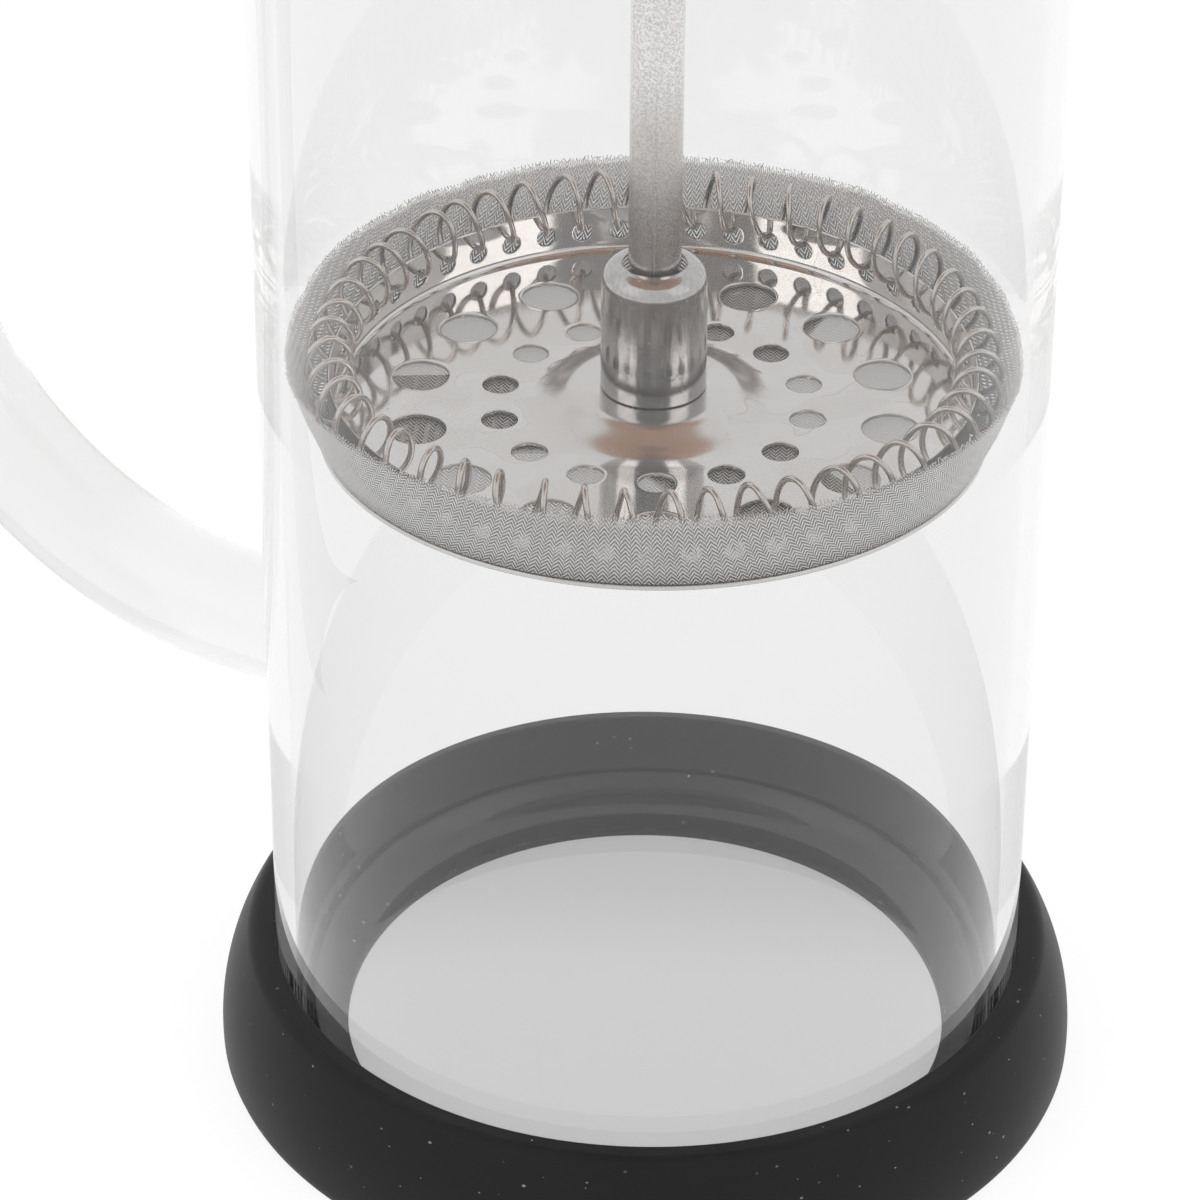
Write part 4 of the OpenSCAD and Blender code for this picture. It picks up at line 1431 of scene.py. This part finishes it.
class PRESS_OT_cross(PressOperator, bpy.types.Operator):
    """Makes the spoked plate under the filter"""
    bl_idname = "press.cross"
    bl_label = "Cross Plate"

    def make(self, scene):
        sizes = scene.press_filter
        low, high, outer = extent("cross_plate")
        bevel, corner_r = 0.22 * MM, 1.2 * MM
        curve = bpy.data.curves.new("cross_disc", "CURVE")
        curve.dimensions, curve.fill_mode = "2D", "BOTH"
        curve.extrude = (high - low) / 2 - bevel
        curve.bevel_depth, curve.bevel_resolution = bevel, 3
        window_r, core_r, half_w = sizes.window_r, sizes.core_r, sizes.spoke_w / 2
        rim_turn = math.degrees(math.asin(half_w / window_r))
        core_turn = math.degrees(math.asin(half_w / core_r))
        loops = [arc((0, 0), outer - bevel, 0, 360, 216)[:-1]]
        for k in range(sizes.spokes):
            start = math.degrees(sizes.cross_turned) + k * 360 / sizes.spokes
            end = start + 360 / sizes.spokes
            rim = arc((0, 0), window_r, start + rim_turn, end - rim_turn, 48)
            core = arc((0, 0), core_r, end - core_turn, start + core_turn, 12)
            # The steps beside each corner give way to its rounding
            corners = [(*rim[0], corner_r)] + rim[3:-3] + [(*rim[-1], corner_r)] + core
            loops.append(rounded(corners, 1))
        for loop in loops:
            spline = curve.splines.new("POLY")
            spline.points.add(len(loop) - 1)
            for point, (x, y) in zip(spline.points, loop):
                point.co = (x, y, 0, 1)
            spline.use_cyclic_u = True
        flat = applied(add_object("cross_disc", curve))
        flat.data.transform(Matrix.Translation((0, 0, (high + low) / 2)))
        shell = Shell()
        shell.bm.from_mesh(flat.data)
        flat.data = shell.mesh("cross_disc", merge=1e-6)
        flat = smooth(flat, 40)
        finish_piece(flat, polished_steel(), "cross_body", ("cross_plate",))


class PRESS_OT_fittings(PressOperator, bpy.types.Operator):
    """Gives the small fittings their finish"""
    bl_idname = "press.fittings"
    bl_label = "Small Fittings"

    def make(self, scene):
        steel_ones = ("rod_top_stud", "rod_end_plug", "cross_stud", "mesh_eyelet")
        for made_of, names in ((spring_steel(), steel_ones), (brass(), ("knob_insert",))):
            for name in names:
                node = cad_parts[name]
                node.data.materials.clear()
                node.data.materials.append(made_of)


class PRESS_OT_studio(PressOperator, bpy.types.Operator):
    """Makes the floor, the soft light and the camera"""
    bl_idname = "press.studio"
    bl_label = "Studio"

    def make(self, scene):
        studio = scene.press_studio
        self.make_floor(studio)
        self.make_world(scene, studio)
        # Elevations are in degrees, and distances and sizes in metres
        for name, turned, elevation, distance, size in (
            ("Softbox left", -studio.box_turn, 34, 1.05, (0.8, 0.7)),
            ("Softbox right", studio.box_turn, 34, 1.05, (0.8, 0.7)),
            ("Softbox above", math.pi, 68, 1.3, (0.9, 0.9)),
        ):
            self.make_softbox(studio, name, turned, elevation, distance, size)
        self.make_camera(scene, studio)
        scene.view_settings.view_transform = "Standard"
        scene.cycles.max_bounces = 28
        scene.cycles.glossy_bounces = 18
        scene.cycles.transmission_bounces = 24
        scene.cycles.transparent_max_bounces = 24

    def make_floor(self, studio):
        """A level floor that reaches past the edges of the picture."""
        shell = Shell()
        size, steps = 3.0, 8
        marks = [size * (2 * i / steps - 1) for i in range(steps + 1)]
        shell.grid([[(x, y, 0.0) for x in marks] for y in marks])
        floor = add_object("floor", shell.mesh("floor", recalculate=False))
        floor.data.materials.append(pale_floor(studio, reach("base_ring")))

    def make_world(self, scene, studio):
        """Even light from all round. Mirror images alone show the softboxes and the gap between
        them, and the object's outside shows them only faintly."""
        world = bpy.data.worlds.new("studio")
        world.use_nodes = True
        net = Net(world.node_tree)
        direction = net.value("ShaderNodeTexCoord", output="Generated")
        front = camera_side(studio)
        facing = net.vector_math("DOT_PRODUCT", direction, tuple(front))
        across = net.vector_math("DOT_PRODUCT", direction, (-front.y, front.x, 0))
        azimuth = net.math("ARCTAN2", across, facing)
        up = net.parts(direction)[2]
        shade = 1 - net.ease(facing, 0.0, 0.30) * (1 - studio.gap_shade)
        level = net.ease(up, 0.20, 0.26) * (1 - net.ease(up, 0.80, 0.86))
        half = studio.box_half
        for middle in (-studio.box_turn, studio.box_turn):
            beside = 1 - net.ease(abs(azimuth - middle), half - 0.05, half + 0.03)
            shade = shade.most(beside * level * studio.box_shine)
        passed, mirrored = net.light_depth("Transmission"), net.light_depth("Glossy")
        inside = passed.above(2.5).most(mirrored.above(1.5))
        shade = 1 + (shade - 1) * (studio.outer_shine + inside * (1 - studio.outer_shine))

        def background(brightness):
            grey = net.vector(brightness, brightness, brightness)
            return net.value("ShaderNodeBackground", inputs={"Color": grey, "Strength": 1.0})

        seen = net.light_path("Camera", "Transmission")
        shown = net.mixed_shader(seen, background(studio.sky), background(1.0))
        surface = net.mixed_shader(net.light_path("Glossy"), shown, background(shade))
        net.node("ShaderNodeOutputWorld", inputs={"Surface": surface})
        scene.world = world

    def make_softbox(self, studio, name, turned, elevation, distance, size):
        """A lamp turned from the camera's side, which shines on the filter from a distance."""
        lamp = bpy.data.lights.new(name, "AREA")
        lamp.shape = "RECTANGLE"
        lamp.size, lamp.size_y = size
        lamp.energy = studio.box_power
        away = Matrix.Rotation(turned, 3, "Z") @ camera_side(studio)
        away = away * math.cos(math.radians(elevation))
        away.z = math.sin(math.radians(elevation))
        box = add_object(name, lamp)
        box.location = Vector((0, 0, top("spiral_plate"))) + away * distance
        box.rotation_euler = away.to_track_quat("Z", "Y").to_euler()
        box.visible_glossy = False

    def make_camera(self, scene, studio):
        data = bpy.data.cameras.new("camera")
        data.lens, data.sensor_width = studio.lens, 36
        data.clip_start, data.clip_end = 0.01, 20
        camera = add_object("camera", data)
        camera.matrix_world = (
            Matrix.Translation(studio.camera_place)
            @ Matrix.Rotation(studio.camera_heading, 4, "Z")
            @ Matrix.Rotation(math.pi / 2 - studio.camera_pitch, 4, "X")
            @ Matrix.Rotation(studio.camera_roll, 4, "Z")
        )
        scene.camera = camera


# ---------------------------------------------------------------- panel and registration


class PRESS_PT_panel(bpy.types.Panel):
    """Lists the steps and settings of the french press"""
    bl_label = "French Press"
    bl_idname = "PRESS_PT_panel"
    bl_space_type = "VIEW_3D"
    bl_region_type = "UI"
    bl_category = "French Press"

    def draw(self, context):
        for step in STEPS:
            self.layout.operator(step.bl_idname)
        for label in SETTINGS:
            column = self.layout.column(heading=label)
            group = getattr(context.scene, label)
            for key in group.bl_rna.properties.keys():
                if key not in ("rna_type", "name"):
                    column.prop(group, key)


SETTINGS = {
    "press_glass": GlassSettings,
    "press_ring": RingSettings,
    "press_filter": FilterSettings,
    "press_plunger": PlungerSettings,
    "press_wood": WoodSettings,
    "press_studio": StudioSettings,
}
STEPS = (
    PRESS_OT_glass, PRESS_OT_base, PRESS_OT_lid, PRESS_OT_plunger, PRESS_OT_knob,
    PRESS_OT_dish, PRESS_OT_coil, PRESS_OT_mesh, PRESS_OT_cross, PRESS_OT_fittings,
    PRESS_OT_studio,
)
CLASSES = (*SETTINGS.values(), *STEPS, PRESS_PT_panel)


def register():
    for made in CLASSES:
        bpy.utils.register_class(made)
    for label, group in SETTINGS.items():
        setattr(bpy.types.Scene, label, bpy.props.PointerProperty(type=group))


def unregister():
    for label in SETTINGS:
        delattr(bpy.types.Scene, label)
    for made in reversed(CLASSES):
        bpy.utils.unregister_class(made)


def main():
    register()
    for step in STEPS:
        group, name = step.bl_idname.split(".")
        getattr(getattr(bpy.ops, group), name)()


if __name__ == "__main__":
    main()
